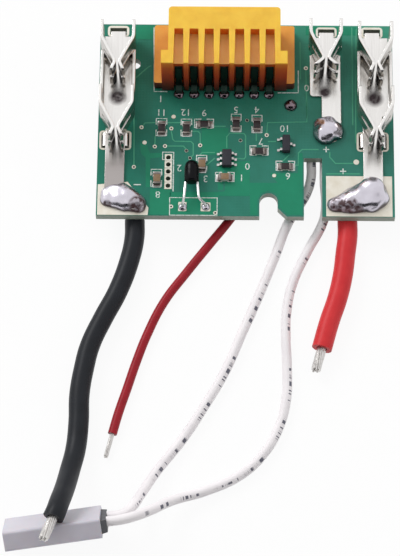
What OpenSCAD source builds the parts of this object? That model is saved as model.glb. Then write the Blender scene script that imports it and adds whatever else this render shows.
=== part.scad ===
// Battery management board for a slide-on tool battery pack: a small circuit board with three
// spring fork terminals, a seven-way signal connector, a thermistor, a thermal switch and leads.
// The board stands on the solder tails of its terminals, underside one lead thickness off the table.
// X runs along the board, Y runs back to the edge where the tool's blades enter, Z is up.

/* [Board] */
// Length of the board along X
board_w = 49; // [48:0.5:60]
// Depth of the board along Y
board_d = 35; // [34.5:0.5:42]
// Thickness of the board
board_t = 1.6; // [1:0.1:2.4]
// Height of the board's underside over the table
stand_off = 3.3; // [3.3:0.1:5]

/* [Front edge cut-outs] */
// Middle of the round-ended notch along X
notch_x = 3.8; // [3:0.1:5]
// Width of the round-ended notch
notch_w = 3; // [2:0.1:3.6]
// Depth of the round-ended notch
notch_depth = 4.15; // [3:0.05:5]
// Side of the chamfer at the mouth of the round-ended notch
notch_chamfer = 1.5; // [0.5:0.1:2]
// Middle of the square slot along X
slot_x = 11.1; // [10.5:0.1:11.3]
// Width of the square slot
slot_w = 3; // [2:0.1:3.2]
// Depth of the square slot
slot_depth = 10.5; // [6:0.5:11.5]

/* [Fork terminals] */
// Thickness of the terminal sheet
sheet = 0.5; // [0.4:0.05:0.7]
// Height of the fork arms over the board
arm_top = 6.8; // [5.5:0.1:8]
// Height of the lower edge of the fingers over the board
arm_bottom = 0.9; // [0.7:0.1:1.2]
// Height of the slit that parts the upper and lower fingers
slit_h = 0.9; // [0.5:0.1:1.2]
// Height of the middle of the slit over the board
slit_z = 3.9; // [3.4:0.1:4.4]
// Gap between the two arms where they pinch the blade
pinch_gap = 0.15; // [0.1:0.05:0.5]
// Half the distance between the arms of the two battery terminals at the mouth
power_mouth = 2.65; // [2.3:0.05:2.8]
// Half the distance between the arms of the charge terminal at the mouth
charge_mouth = 2.5; // [2.2:0.05:2.7]
// Distance between the two forks of a battery terminal
fork_pitch = 11.85; // [11.5:0.05:12.5]
// Height of the side walls of a battery terminal
wall_h = 2.5; // [1.5:0.1:3]
// Width of the stem that runs to the solder pad
stem_w = 3.2; // [2.6:0.1:3.4]
// Width of the front tab and of the legs that go through the board
tab_w = 2.4; // [1.8:0.1:2.6]
// Middle of the minus terminal along X
b_minus_x = -21.35; // [-21.45:0.05:-21]
// Middle of the plus terminal along X
b_plus_x = 21.4; // [21:0.05:21.5]
// Middle of the charge terminal along X
charge_x = 13.2; // [12.8:0.1:13.6]

/* [Signal connector] */
// Number of contacts
contact_count = 7; // [7:1:7]
// Distance between contacts
contact_pitch = 2.5; // [2.4:0.05:2.54]
// Middle of the connector along X
connector_x = -3.65; // [-4:0.05:-3]
// Height of the hood over the board
hood_h = 10.5; // [9:0.1:12]
// Width of the hood
hood_w = 18.4; // [18:0.1:19]
// Width of the shoulder at the front of the hood
shoulder_w = 20.7; // [20:0.1:22]
// Width of the connector's foot
foot_w = 23.4; // [22.5:0.1:24]
// Height of the connector's foot
foot_h = 2.1; // [1.5:0.1:3]

/* [Small parts] */
// Length of a chip resistor or capacitor
chip_l = 2; // [1.6:0.1:2]
// Width of a chip resistor or capacitor
chip_w = 1.25; // [0.8:0.05:1.25]
// Diameter of the thermistor bead
bead_d = 2.4; // [1.8:0.1:2.6]
// Diameter of the programming holes
program_hole_d = 0.8; // [0.6:0.1:0.9]
// Distance between the programming holes
program_pitch = 1.27; // [1.27:0.01:1.3]

/* [Thermal switch] */
// Length of the thermal switch case
switch_l = 15.3; // [14:0.1:16]
// Width of the thermal switch case
switch_w = 7.5; // [6:0.1:7.5]
// Thickness of the thermal switch case
switch_t = 3.3; // [3:0.1:3.5]

/* [Leads] */
// Outer diameter of the thick black and red leads
thick_d = 3.3; // [2.8:0.1:3.3]
// Outer diameter of the thin red lead
thin_d = 1.5; // [1.2:0.1:1.6]
// Outer diameter of the two white leads
white_d = 1.6; // [1.3:0.1:1.6]
// Diameter of the tinned strands of a thick lead
thick_core_d = 1.7; // [1.4:0.1:1.8]
// Diameter of the tinned strands of a thin lead
thin_core_d = 0.8; // [0.6:0.1:0.8]

/* [Hidden] */
$fn = 32;
eps = 0.01;

board_top = stand_off + board_t;
front_y = -board_d / 2;
tail_l = board_t + stand_off;

// Legs and tabs, and the slots that they pass through
bend_r = 0.6;
cut_gap = 0.15;
tab_slot_spare = 0.45;
leg_x = stem_w / 2 + bend_r - sheet / 2 + 0.05;
leg_y = 13.5;
tab_y = 33.45;
b_minus_stem_x = b_minus_x - 0.25;
b_plus_stem_x = b_plus_x - 0.4;
b_minus_tab_x = b_minus_x - 0.15;
b_plus_tab_x = b_plus_x - 0.3;
charge_tab_x = charge_x + 0.25;
charge_stem_x = charge_x + 1;

// Fork: lengths along Y from the tip of an arm back to its bend, its pinch and its free end
power_tip_y = 32.65;
power_bend = 3.25;
power_pinch = 7.8;
power_end = 9.4;
power_flare = 1.05;
charge_tip_y = 33.1;
charge_bend = 2.7;
charge_pinch = 7.3;
charge_end = 8.7;
charge_flare = 1.85;
neck_front = 0.9;
neck_l = 2;
relief = 0.75;

// Signal connector, along Y from the board's front edge
foot_front = 23.1;
foot_back = 33.8;
hood_front = 22.7;
shoulder_back = 25;
hood_back = 33;
channel_back = 28.95;
channel_floor = 8.5;
groove_back = 23.5;
cavity_w = 1.3;
cavity_bottom = 1.6;
cavity_top = 7.6;
cavity_back = 32.2;
blade_slot_w = 0.9;
contact_t = 0.35;
contact_w = 1;
pin_y = 22.05;
pin_hole_d = 1.2;
first_contact_x = connector_x - (contact_count - 1) / 2 * contact_pitch;

// Solder holes
b_minus_hole = [-18.2, 1.6];
b_plus_hole = [16.85, 1.8];
balance_hole = [7.45, 20.1];
white_joints = [[10.9, 13.3], [13.1, 12.6]];
thermistor_holes = [[-10.3, 1.6], [-6.5, 1.65]];
program_start = [-12.75, 10.45];

// Round relief hole beside the B- terminal, half under its edge
relief_hole = [-18.6, 27.6];
relief_hole_d = 1.9;

// Chip parts: middle along X, distance from the front edge, turn
resistors = [
    [-13.95, 15.7, 90], [-9.85, 15.65, 90], [-6.9, 16.45, 0], [-1.6, 16.55, 90],
    [1.85, 16.4, 90], [2.25, 11.6, 0], [6.55, 8.85, 0]
];
capacitors = [[-3.4, 6.8, 0], [-7.2, 9.1, 90], [-14.6, 6.45, 90]];
resistor_h = 0.5;
capacitor_h = 0.8;
monitor_at = [-3.1, 10.1];
transistor_at = [6.7, 12.8];
package_l = 2.9;
package_h = 1.1;
package_lift = 0.1;
lead_t = 0.15;
lead_w = 0.4;
lead_pitch = 0.95;

// Thermistor: the bead lies over the board on its two bent leads
bead_y = 7.1;
bead_z = 2;
bead_l = 3.9;
bead_x = -8.85;
bead_lead_d = 0.45;
bead_lead_gap = 1.95;
bead_lead_spread = 0.25;

// Thermal switch: it lies where its two stiff leads hold it, its lower edge on the table
switch_at = [-29.8, -53.15];
switch_turn = [-56, -4.2, 7.6];
switch_wall = 0.6;
switch_edge_r = 0.5;
switch_low = switch_l / 2 * sin(-switch_turn[1]) + cos(switch_turn[1]) * (switch_edge_r
    + (switch_w / 2 - switch_edge_r) * sin(-switch_turn[0])
    + (switch_t / 2 - switch_edge_r) * cos(switch_turn[0]));
potting_out = 0.9;

// Turns a place about X, Y and Z in that order, as rotate does
function turned(p, a) =
    let (
        q = [p[0], p[1] * cos(a[0]) - p[2] * sin(a[0]), p[1] * sin(a[0]) + p[2] * cos(a[0])],
        w = [q[0] * cos(a[1]) + q[2] * sin(a[1]), q[1], q[2] * cos(a[1]) - q[0] * sin(a[1])]
    )
    [w[0] * cos(a[2]) - w[1] * sin(a[2]), w[0] * sin(a[2]) + w[1] * cos(a[2]), w[2]];

// A white lead's last two places: it runs in square to the potting, this far to one side of its middle
function switch_end(side) = [
    for (out = [2.4, 0]) turned([switch_l / 2 + potting_out + out, side, 0.25], switch_turn)
        + [switch_at[0], switch_at[1], switch_low]
];

// Lead routes: [x, distance from the board's front edge, height over the table]
thick_z = thick_d / 2;
thin_z = thin_d / 2;
white_z = white_d / 2;
black_route = [
    [-18.2, 0.5, thick_z], [-18.2, -2.6, thick_z], [-18.9, -6.5, thick_z], [-20.7, -12, thick_z],
    [-23.1, -17, thick_z], [-25, -21.5, thick_z], [-25.9, -25.5, thick_z], [-26.5, -30, thick_z],
    [-26.5, -34.5, thick_z], [-26.8, -39, 1.9], [-27.5, -43, 3.2], [-28.2, -47.3, 6],
    [-28.8, -50.2, 8.3], [-29.2, -51.9, 9.2], [-29.6, -52.9, 9.3]
];
black_tip_route = [[-29.6, -52.9, 9.3], [-31.1, -56.6, 9.6]];
thick_red_route = [
    [16.85, 0.6, thick_z], [16.85, -2, thick_z], [16.5, -5, thick_z], [16, -9, thick_z],
    [15.1, -13, thick_z], [13.8, -17, thick_z], [12.5, -21.8, thick_z]
];
thick_red_tip_route = [[12.5, -21.8, thick_z], [11.45, -25.7, thick_z]];
thin_red_route = [
    [7.1, 19.1, thin_z], [6, 16, thin_z], [4.2, 12, thin_z], [1.8, 8, thin_z], [-0.6, 4, thin_z],
    [-2.9, 0.6, thin_z], [-5.6, -3, thin_z], [-9.6, -8.4, thin_z], [-13.2, -13.6, thin_z],
    [-15.8, -19.2, thin_z], [-17.5, -24, thin_z], [-18.9, -28.6, thin_z], [-20.2, -32.8, thin_z],
    [-21.1, -36.3, thin_z]
];
thin_red_tip_route = [[-21.1, -36.3, thin_z], [-22.1, -40.3, thin_z]];
white_route_1 = concat([
    [10.9, 12, 2.5], [10.9, 10.5, 2.5], [10.9, 8.5, 1.8], [10.3, 6.2, 1.1], [9, 3.8, white_z],
    [7.3, 1, white_z], [4.9, -5.5, white_z], [2.3, -12.3, white_z], [-0.6, -19.4, white_z],
    [-3.2, -25.7, white_z], [-6.4, -31.5, white_z], [-9.9, -37.2, white_z], [-13.8, -42.5, 1.1],
    [-16.3, -46.8, 2.2], [-17.7, -49.5, 3.9]
], switch_end(1.4));
white_route_2 = concat([
    [13.1, 11.3, 2.5], [13.1, 9.8, 2.5], [13.1, 7.5, 1.8], [13.3, 5, 1.1], [13.3, 3, white_z],
    [12.9, 0.9, white_z], [10.2, -4.6, white_z], [7.8, -10.2, white_z], [6.8, -15.4, white_z],
    [6.7, -19.5, white_z], [6.9, -24.8, white_z], [6.8, -29.9, white_z], [5.5, -35.2, white_z],
    [3.1, -39.5, white_z], [-0.5, -43, white_z], [-5.8, -45.7, 1.1], [-11.2, -47.8, 2.4],
    [-14.6, -50.2, 4.9], [-17, -51.6, 6.3]
], switch_end(-1.4));

// Moves a piece from its place on the board to the part's frame
module on_board(x, y) {
    translate([x, front_y + y, board_top]) children();
}

function unit(v) = v / norm(v);
function turn_left(v) = [-v[1], v[0]];

// Replaces each inner corner of an open line by a soft curve that starts a set length before it
function softened(line, length, steps = 4) = concat([line[0]], [
    for (i = [1:len(line) - 2]) for (k = [0:steps])
        let (
            start = line[i] - length * unit(line[i] - line[i - 1]),
            end = line[i] + length * unit(line[i + 1] - line[i]),
            t = k / steps
        )
        (1 - t) * (1 - t) * start + 2 * t * (1 - t) * line[i] + t * t * end
], [line[len(line) - 1]]);

// Sideways step at one point of a line that moves both of its neighbours by one unit
function side_step(line, i) =
    let (
        before = unit(line[max(i, 1)] - line[max(i, 1) - 1]),
        after = unit(line[min(i, len(line) - 2) + 1] - line[min(i, len(line) - 2)]),
        middle = unit(turn_left(before) + turn_left(after))
    )
    middle / (middle * turn_left(before));

// Outline of a sheet seen on edge
function sheet_outline(line, t) = concat(
    [for (i = [0:len(line) - 1]) line[i] + side_step(line, i) * t / 2],
    [for (i = [len(line) - 1:-1:0]) line[i] - side_step(line, i) * t / 2]
);

// A flat bar with rounded corners, from one corner to the other
module rounded_bar(from, to, r) {
    translate([from[0] + r, from[1]]) square([to[0] - from[0] - 2 * r, to[1] - from[1]]);
    translate([from[0], from[1] + r]) square([to[0] - from[0], to[1] - from[1] - 2 * r]);
    for (x = [from[0] + r, to[0] - r], y = [from[1] + r, to[1] - r])
        translate([x, y]) circle(r);
}

// Stands a shape drawn as [y, z] across the X axis, w wide and centred
module across(w) {
    translate([-w / 2, 0, 0]) rotate([90, 0, 90]) linear_extrude(w) children();
}

// Runs a shape drawn as [x, z] along the Y axis from one place to another
module along(from, to) {
    translate([0, to, 0]) rotate([90, 0, 0]) linear_extrude(to - from) children();
}

// Board

module board_outline() {
    translate([notch_x, notch_depth - notch_w / 2]) {
        circle(notch_w / 2);
        translate([-notch_w / 2, -notch_depth - 1])
            square([notch_w, notch_depth + 1]);
    }
    translate([notch_x + notch_w / 2 - eps, 0])
        polygon([[0, -1], [notch_chamfer, -1], [notch_chamfer, 0], [0, notch_chamfer]]);
    translate([slot_x - slot_w / 2, -1]) square([slot_w, slot_depth + 1]);
}

module tab_slot(x) {
    translate([x - tab_w / 2 - cut_gap, tab_y - sheet / 2 - cut_gap])
        square([tab_w + 2 * cut_gap, sheet + 2 * cut_gap + tab_slot_spare]);
}

module leg_slots(x) {
    for (side = [-1, 1])
        translate([x + side * leg_x - sheet / 2 - cut_gap, leg_y - tab_w / 2 - cut_gap])
            square([sheet + 2 * cut_gap, tab_w + 2 * cut_gap]);
}

module board_holes() {
    for (x = [b_minus_tab_x, b_plus_tab_x, charge_tab_x]) tab_slot(x);
    for (x = [b_minus_stem_x, b_plus_stem_x]) leg_slots(x);
    for (i = [0:contact_count - 1])
        translate([first_contact_x + i * contact_pitch, pin_y]) circle(d = pin_hole_d);
    for (at = [b_minus_hole, b_plus_hole]) translate(at) circle(d = thick_core_d + 0.3);
    for (at = concat([balance_hole], thermistor_holes))
        translate(at) circle(d = thin_core_d + 0.2);
    translate(relief_hole) circle(d = relief_hole_d);
    for (i = [0:4])
        translate(program_start - [0, i * program_pitch]) circle(d = program_hole_d);
}

module circuit_board() {
    color("#1f8a66") translate([0, front_y, stand_off]) linear_extrude(board_t) difference() {
        translate([-board_w / 2, 0]) square([board_w, board_d]);
        board_outline();
        board_holes();
    }
}

// Terminals

// One spring arm: the plan of the bent sheet met with its side view
module fork_arm(mouth, bend, pinch, end, flare) {
    pinch_x = (pinch_gap + sheet) / 2;
    plan = softened([[mouth, 0], [mouth, -bend], [pinch_x, -pinch], [flare, -end]], 0.45);
    slit_end = bend + 1.1;
    intersection() {
        linear_extrude(arm_top + 1) polygon(sheet_outline(plan, sheet));
        across(4 * mouth) {
            rounded_bar([-slit_end, arm_bottom], [0, arm_top], 0.5);
            rounded_bar([-end - 0.2, slit_z + slit_h / 2], [-bend, arm_top], 0.8);
            rounded_bar([-end - 0.2, arm_bottom], [-bend, slit_z - slit_h / 2], 0.8);
        }
    }
}

// A stretch of plate folded up at both edges
module folded_walls(half, height) {
    inner = bend_r - sheet;
    for (side = [-1, 1]) scale([side, 1]) {
        translate([half - bend_r, bend_r]) intersection() {
            difference() {
                circle(bend_r);
                circle(inner);
            }
            translate([0, -bend_r]) square(bend_r);
        }
        translate([half - sheet, bend_r - eps]) square([sheet, height - bend_r + eps]);
        square([half - bend_r + eps, sheet]);
    }
}

module fork(mouth, tip_y, bend, pinch, end, flare) {
    half = mouth + sheet / 2;
    translate([0, tip_y, 0]) {
        for (side = [0, 1]) mirror([side, 0, 0]) fork_arm(mouth, bend, pinch, end, flare);
        along(-neck_front - neck_l, -neck_front) folded_walls(half, arm_bottom + 0.6);
    }
}

// A tail bent down through the board, with its bend on the +Y side
module bent_tail() {
    drop = tail_l + sheet - bend_r;
    across(tab_w) {
        translate([-bend_r - 0.4, 0]) square([0.4 + eps, sheet]);
        translate([-bend_r, sheet - bend_r]) intersection() {
            difference() {
                circle(bend_r);
                circle(bend_r - sheet);
            }
            square(bend_r);
        }
        translate([-sheet, -tail_l])
            polygon([[0, drop], [0, 0.5], [0.1, 0], [sheet - 0.1, 0], [sheet, 0.5], [sheet, drop]]);
    }
}

module front_tab(x) {
    translate([x, tab_y + sheet / 2, 0]) bent_tail();
}

module legs(x) {
    for (side = [-1, 1])
        translate([x + side * (leg_x + sheet / 2), leg_y, 0]) rotate([0, 0, -side * 90]) bent_tail();
}

module power_terminal(x, stem_x, tab_x, stem_end) {
    half = power_mouth + sheet / 2;
    neck_back = power_tip_y - neck_front - neck_l;
    walls_back = neck_back - fork_pitch;
    color("#d9d8d6") on_board(0, 0) {
        linear_extrude(sheet) difference() {
            union() {
                translate([x - half + bend_r, walls_back])
                    square([2 * half - 2 * bend_r, tab_y - 1 - walls_back]);
                translate([stem_x - stem_w / 2, stem_end])
                    square([stem_w, walls_back - stem_end + eps]);
            }
            for (side = [-1, 1])
                translate([x + side * half, neck_back - relief / 2]) circle(relief);
        }
        translate([x, 0, 0]) {
            fork(power_mouth, power_tip_y, power_bend, power_pinch, power_end, power_flare);
            fork(power_mouth, power_tip_y - fork_pitch, power_bend, power_pinch, power_end, power_flare);
            along(walls_back, neck_back - relief) folded_walls(half, wall_h);
        }
        translate([tab_x - tab_w / 2, tab_y - 1 - eps, 0]) cube([tab_w, 1 - bend_r + sheet / 2, sheet]);
        front_tab(tab_x);
        legs(stem_x);
    }
}

module b_minus_terminal() {
    power_terminal(b_minus_x, b_minus_stem_x, b_minus_tab_x, 4.4);
}

module b_plus_terminal() {
    power_terminal(b_plus_x, b_plus_stem_x, b_plus_tab_x, 4.8);
}

module charge_terminal() {
    half = charge_mouth + sheet / 2;
    plate_back = 21.6;
    stem_end = 14;
    stem_side = charge_stem_x + stem_w / 2;
    neck_back = charge_tip_y - neck_front - neck_l;
    color("#d9d8d6") on_board(0, 0) {
        linear_extrude(sheet) difference() {
            union() {
                translate([charge_x, 0]) {
                    rounded_bar([-half + 0.2, plate_back], [half - 0.2, neck_back + 0.5], 0.6);
                    translate([-half + bend_r, neck_back]) square([2 * half - 2 * bend_r, tab_y - 1 - neck_back]);
                }
                translate([charge_stem_x - stem_w / 2, stem_end])
                    square([stem_w, plate_back - stem_end + 1]);
            }
            for (side = [-1, 1])
                translate([charge_x + side * half, neck_back - relief / 2]) circle(relief);
        }
        translate([charge_x, 0, 0])
            fork(charge_mouth, charge_tip_y, charge_bend, charge_pinch, charge_end, charge_flare);
        translate([charge_tab_x - tab_w / 2, tab_y - 1 - eps, 0])
            cube([tab_w, 1 - bend_r + sheet / 2, sheet]);
        front_tab(charge_tab_x);
    }
}

// Signal connector

module hood_plan() {
    rounded_bar([-hood_w / 2, hood_front], [hood_w / 2, hood_back], 0.6);
    translate([-hood_w / 2, hood_front]) square([hood_w, 2]);
    translate([-shoulder_w / 2, hood_front]) square([shoulder_w, shoulder_back - hood_front]);
}

// The open channel over one contact, a little wider at the front
module channel() {
    back_half = 0.72;
    front_half = 0.87;
    translate([0, 0, channel_floor]) linear_extrude(hood_h) polygon([
        [-back_half, channel_back], [back_half, channel_back],
        [front_half, hood_front - 1], [-front_half, hood_front - 1]
    ]);
    translate([-front_half, hood_front - 1, -1])
        cube([2 * front_half, groove_back - hood_front + 1, channel_floor + 2]);
    translate([-cavity_w / 2, groove_back - eps, cavity_bottom])
        cube([cavity_w, cavity_back - groove_back, cavity_top - cavity_bottom]);
    translate([-blade_slot_w / 2, cavity_back - 1, cavity_bottom + 0.6])
        cube([blade_slot_w, hood_back - cavity_back + 2, cavity_top - cavity_bottom - 0.6]);
}

module connector_housing() {
    color("#edc646") on_board(connector_x, 0) difference() {
        union() {
            linear_extrude(hood_h) hood_plan();
            linear_extrude(foot_h)
                rounded_bar([-foot_w / 2, foot_front], [foot_w / 2, foot_back], 0.4);
        }
        for (i = [0:contact_count - 1])
            translate([first_contact_x - connector_x + i * contact_pitch, 0, 0]) channel();
    }
}

// One folded contact: two leaves in the housing, a tail down its front and a pin through the board
module signal_contact(i) {
    top = cavity_top;
    tail_y = groove_back - contact_t / 2;
    leaf_t = 0.2;
    leaf_front = 24.2;
    leaf_back = 31.5;
    line = [[leaf_front, top - contact_t / 2], [tail_y, top - contact_t / 2], [tail_y, 1.1], [pin_y, 0.7],
        [pin_y, -board_t - 1.2]];
    color("#3b4247") on_board(first_contact_x + (i - 1) * contact_pitch, 0) {
        across(contact_w) polygon(sheet_outline(softened(line, 0.3, 3), contact_t));
        for (side = [-1, 1])
            translate([side * (contact_w / 2 + 0.15 - leaf_t / 2) - leaf_t / 2, leaf_front - 0.3, 2.4])
                cube([leaf_t, leaf_back - leaf_front, top - 2.4]);
        translate([-contact_w / 2 - 0.15, leaf_front - 0.3, top - contact_t])
            cube([contact_w + 0.3, leaf_back - leaf_front, contact_t]);
    }
}

// Solder

// A round joint that stands on z = 0
module solder_dome(r, h) {
    ball = (r * r + h * h) / (2 * h);
    translate([0, 0, h - ball]) intersection() {
        sphere(ball, $fn = 48);
        translate([-ball, -ball, ball - h]) cube([2 * ball, 2 * ball, h + 1]);
    }
}

module signal_solder() {
    color("#55525a") for (i = [0:contact_count - 1])
        on_board(first_contact_x + i * contact_pitch, pin_y) difference() {
            union() {
                solder_dome(0.9, 0.75);
                translate([0, 0, -board_t - 0.5]) cylinder(h = board_t + 0.6, d = pin_hole_d);
            }
            translate([-contact_w / 2, -contact_t / 2, -board_t - 1])
                cube([contact_w, contact_t, board_t + 2]);
            translate([-contact_w / 2, 0, 0.45]) cube([contact_w, 2, 2]);
        }
}

// Ridges of solder on the underside, where the tabs and the legs come through
module tab_ridge() {
    difference() {
        across(tab_w + 0.8) polygon([[-0.8, 0], [0.8, 0], [0.4, -1], [-0.4, -1]]);
        translate([-tab_w / 2, -sheet / 2, -2]) cube([tab_w, sheet, 3]);
    }
}

module tab_solder() {
    color("#b9b7bf") {
        for (x = [b_minus_tab_x, b_plus_tab_x, charge_tab_x])
            translate([x, front_y + tab_y, stand_off]) tab_ridge();
        for (x = [b_minus_stem_x, b_plus_stem_x], side = [-1, 1])
            translate([x + side * leg_x, front_y + leg_y, stand_off]) rotate([0, 0, 90]) tab_ridge();
    }
}

// A pool of solder: balls of [x, y, z, radius] wrapped in one skin, cut flat on the board
module solder_pool(balls) {
    intersection() {
        hull() for (ball = balls)
            translate([ball[0], ball[1], ball[2]]) sphere(ball[3], $fn = 20);
        translate([-board_w, 0, 0]) cube([2 * board_w, board_d, 5]);
    }
}

module stem_cut(x, end) {
    translate([x - stem_w / 2, end, -eps]) cube([stem_w, 20, sheet + eps]);
}

module core_cut(at, d) {
    translate([at[0], at[1], -board_t - 1]) cylinder(h = board_t + 1.9, d = d);
}

module b_minus_solder() {
    color("#c3bfd2") on_board(0, 0) difference() {
        solder_pool([
            [-22.7, 4, 0, 1.1], [-20.4, 4.4, 0.1, 1.4], [-19.8, 3.1, 0.1, 1.6],
            [-17.7, 2, 0, 1.6], [-19.3, 2.2, 0.1, 1.5], [-22.8, 2.6, 0, 1.05]
        ]);
        stem_cut(b_minus_stem_x, 4.4);
        core_cut(b_minus_hole, thick_core_d);
    }
}

module b_plus_solder() {
    color("#c3bfd2") on_board(0, 0) difference() {
        solder_pool([
            [20.9, 4.7, 0, 2.3], [21.8, 3.2, 0, 1.8], [19.7, 4.1, 0.1, 2.1],
            [20.2, 2.5, 0, 1.8], [16.7, 2.4, 0, 1.8], [14.6, 2, 0, 1.2]
        ]);
        stem_cut(b_plus_stem_x, 4.8);
        core_cut(b_plus_hole, thick_core_d);
    }
}

module charge_solder() {
    color("#aaa7b2") on_board(0, 0) difference() {
        solder_pool([
            [13.2, 14.9, 0, 2], [14.3, 15.4, 0, 1.95], [12.3, 16.8, 0, 1], [13.6, 16.4, 0, 1.6]
        ]);
        stem_cut(charge_stem_x, 14);
    }
}

module balance_solder() {
    color("#3a3840") on_board(balance_hole[0], balance_hole[1]) difference() {
        solder_dome(1.1, 0.9);
        translate([0, 0, -1]) cylinder(h = 1.5, d = thin_core_d);
    }
}

// Joints on the underside, each with the bare end of a white lead sunk in it
module white_lead_solder() {
    color("#b9b7bf") translate([0, front_y, 0]) for (i = [0, 1]) difference() {
        translate([white_joints[i][0], white_joints[i][1], stand_off]) mirror([0, 0, 1])
            solder_dome(1.1, 1.35);
        white_end([white_route_1, white_route_2][i], white_joints[i]);
    }
}

module thermistor_solder() {
    color("#c9c6cf") for (at = thermistor_holes)
        on_board(at[0], at[1]) difference() {
            solder_dome(0.75, 0.5);
            translate([0, 0, -1]) cylinder(h = 3, d = bead_lead_d);
        }
}

// Chip parts

module chip(place, height) {
    on_board(place[0], place[1]) rotate([0, 0, place[2]]) {
        translate([-chip_l / 2 + 0.3, -chip_w / 2 + 0.02, 0])
            cube([chip_l - 0.6, chip_w - 0.04, height - 0.03]);
        for (side = [-1, 1])
            translate([side * (chip_l / 2 - 0.2) - 0.2, -chip_w / 2, 0]) cube([0.4, chip_w, height]);
    }
}

module resistor(i) {
    color("#2b2526") chip(resistors[i - 1], resistor_h);
}

module capacitor(i) {
    color("#8a6a4e") chip(capacitors[i - 1], capacitor_h);
}

// A moulded package with sloping flanks, standing just over the board
module package(at, width) {
    color("#2a2a2f") on_board(at[0], at[1])
        translate([0, package_l / 2, package_lift]) rotate([90, 0, 0]) linear_extrude(package_l) polygon([
            [-width / 2 + 0.06, 0], [width / 2 - 0.06, 0], [width / 2, 0.5], [width / 2 - 0.08, package_h],
            [-width / 2 + 0.08, package_h], [-width / 2, 0.5]
        ]);
}

// A gull-wing lead that leaves a package of this width on the +X side
module gull_lead(width) {
    level = package_lift + 0.5;
    line = [[width / 2 - 0.01, level], [width / 2 + 0.3, level], [width / 2 + 0.45, lead_t / 2],
        [width / 2 + 0.85, lead_t / 2]];
    translate([0, lead_w / 2, 0]) rotate([90, 0, 0]) linear_extrude(lead_w)
        polygon(sheet_outline(softened(line, 0.1, 3), lead_t));
}

module monitor_chip() {
    package(monitor_at, 1.6);
}

module monitor_chip_leads() {
    color("#d2d0cf") on_board(monitor_at[0], monitor_at[1]) difference() {
        for (side = [0, 1], step = [-1:1])
            mirror([side, 0, 0]) translate([0, step * lead_pitch, 0]) gull_lead(1.6);
        cube([1.6, package_l, 4], center = true);
    }
}

module transistor() {
    package(transistor_at, 1.3);
}

module transistor_leads() {
    color("#d2d0cf") on_board(transistor_at[0], transistor_at[1]) difference() {
        union() {
            gull_lead(1.3);
            for (step = [-1, 1]) mirror([1, 0, 0]) translate([0, step * lead_pitch, 0]) gull_lead(1.3);
        }
        cube([1.3, package_l, 4], center = true);
    }
}

// Thermistor

module thermistor_bead() {
    shoulder = bead_l - bead_d / 2;
    color("#17171a") on_board(bead_x, bead_y + bead_l / 2) translate([0, 0, bead_z])
        rotate([90, 0, 0]) rotate_extrude() intersection() {
            union() {
                translate([0, bead_d / 2]) circle(bead_d / 2, $fn = 48);
                polygon([[0, bead_d / 2], [bead_d / 2, bead_d / 2], [bead_d / 2 - 0.15, shoulder],
                    [bead_lead_gap / 2 + 0.15, bead_l], [0, bead_l]]);
            }
            square([bead_d, bead_l]);
        }
}

// A round wire through a list of places, with square turns
module bare_wire(places, d) {
    for (i = [0:len(places) - 2])
        let (step = places[i + 1] - places[i])
            translate(places[i]) rotate([0, acos(step[2] / norm(step)), atan2(step[1], step[0])])
                cylinder(h = norm(step), d = d);
    for (i = [1:len(places) - 2]) translate(places[i]) sphere(d = d);
}

module thermistor_lead(side) {
    hole = thermistor_holes[side < 0 ? 0 : 1];
    route = [
        [hole[0], hole[1], -board_t - 0.8], [hole[0], hole[1], 0.9],
        [bead_x + side * (bead_lead_gap / 2 + bead_lead_spread), hole[1] + 0.7, bead_z],
        [bead_x + side * bead_lead_gap / 2, bead_y - bead_l / 2, bead_z]
    ];
    color("#c8c6c4") translate([0, 0, board_top]) tube(softened(route, 0.5), bead_lead_d, 8, [1, 0, 0]);
}

module thermistor_lead_left() {
    thermistor_lead(-1);
}

module thermistor_lead_right() {
    thermistor_lead(1);
}

// Thermal switch

module at_switch() {
    translate([switch_at[0], front_y + switch_at[1], switch_low]) rotate(switch_turn) children();
}

// A length of the switch's section, smaller all round by the given shrink
module switch_block(shrink, length) {
    translate([-switch_l / 2, 0, 0]) rotate([90, 0, 90]) linear_extrude(length)
        rounded_bar([-switch_w / 2 + shrink, -switch_t / 2 + shrink],
            [switch_w / 2 - shrink, switch_t / 2 - shrink], switch_edge_r - shrink / 2);
}

module thermal_switch_case() {
    color("#d5d3da") at_switch() difference() {
        switch_block(0, switch_l);
        translate([switch_wall, 0, 0]) switch_block(switch_wall, switch_l);
    }
}

module thermal_switch_potting() {
    color("#5c5f63") at_switch() {
        translate([switch_wall, 0, 0]) switch_block(switch_wall, switch_l - switch_wall);
        mouth = switch_w / 2 - switch_wall;
        depth = switch_t - 2 * switch_wall;
        translate([switch_l / 2 - eps, 0, -depth / 2]) linear_extrude(depth) polygon([
            [0, -mouth], [potting_out, -mouth + 0.5], [potting_out, mouth - 0.5], [0, mouth]
        ]);
    }
}

// Leads

// One ring of a tube that follows a route: it is square to the route, and starts on the side that up names
function ring(route, i, r, sides, up) =
    let (
        step = route[min(i + 1, len(route) - 1)] - route[max(i - 1, 0)],
        side = unit(cross(step, up)),
        level = unit(cross(side, step))
    )
    [for (k = [0:sides - 1]) route[i] + r * (cos(k * 360 / sides) * level + sin(k * 360 / sides) * side)];

module tube(route, d, sides = 8, up = [0, 0, 1]) {
    last = len(route) - 1;
    points = [for (i = [0:last]) each ring(route, i, d / 2, sides, up)];
    flanks = [
        for (i = [0:last - 1], k = [0:sides - 1])
            let (a = i * sides + k, b = i * sides + (k + 1) % sides)
                each [[a, a + sides, b], [b, a + sides, b + sides]]
    ];
    near_end = [for (k = [0:sides - 1]) k];
    far_end = [for (k = [sides - 1:-1:0]) last * sides + k];
    translate([0, front_y, 0]) polyhedron(points, concat(flanks, [near_end, far_end]));
}

module black_lead() {
    color("#26282c") tube(black_route, thick_d);
}

module thick_red_lead() {
    color("#d63a3c") tube(thick_red_route, thick_d);
}

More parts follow.
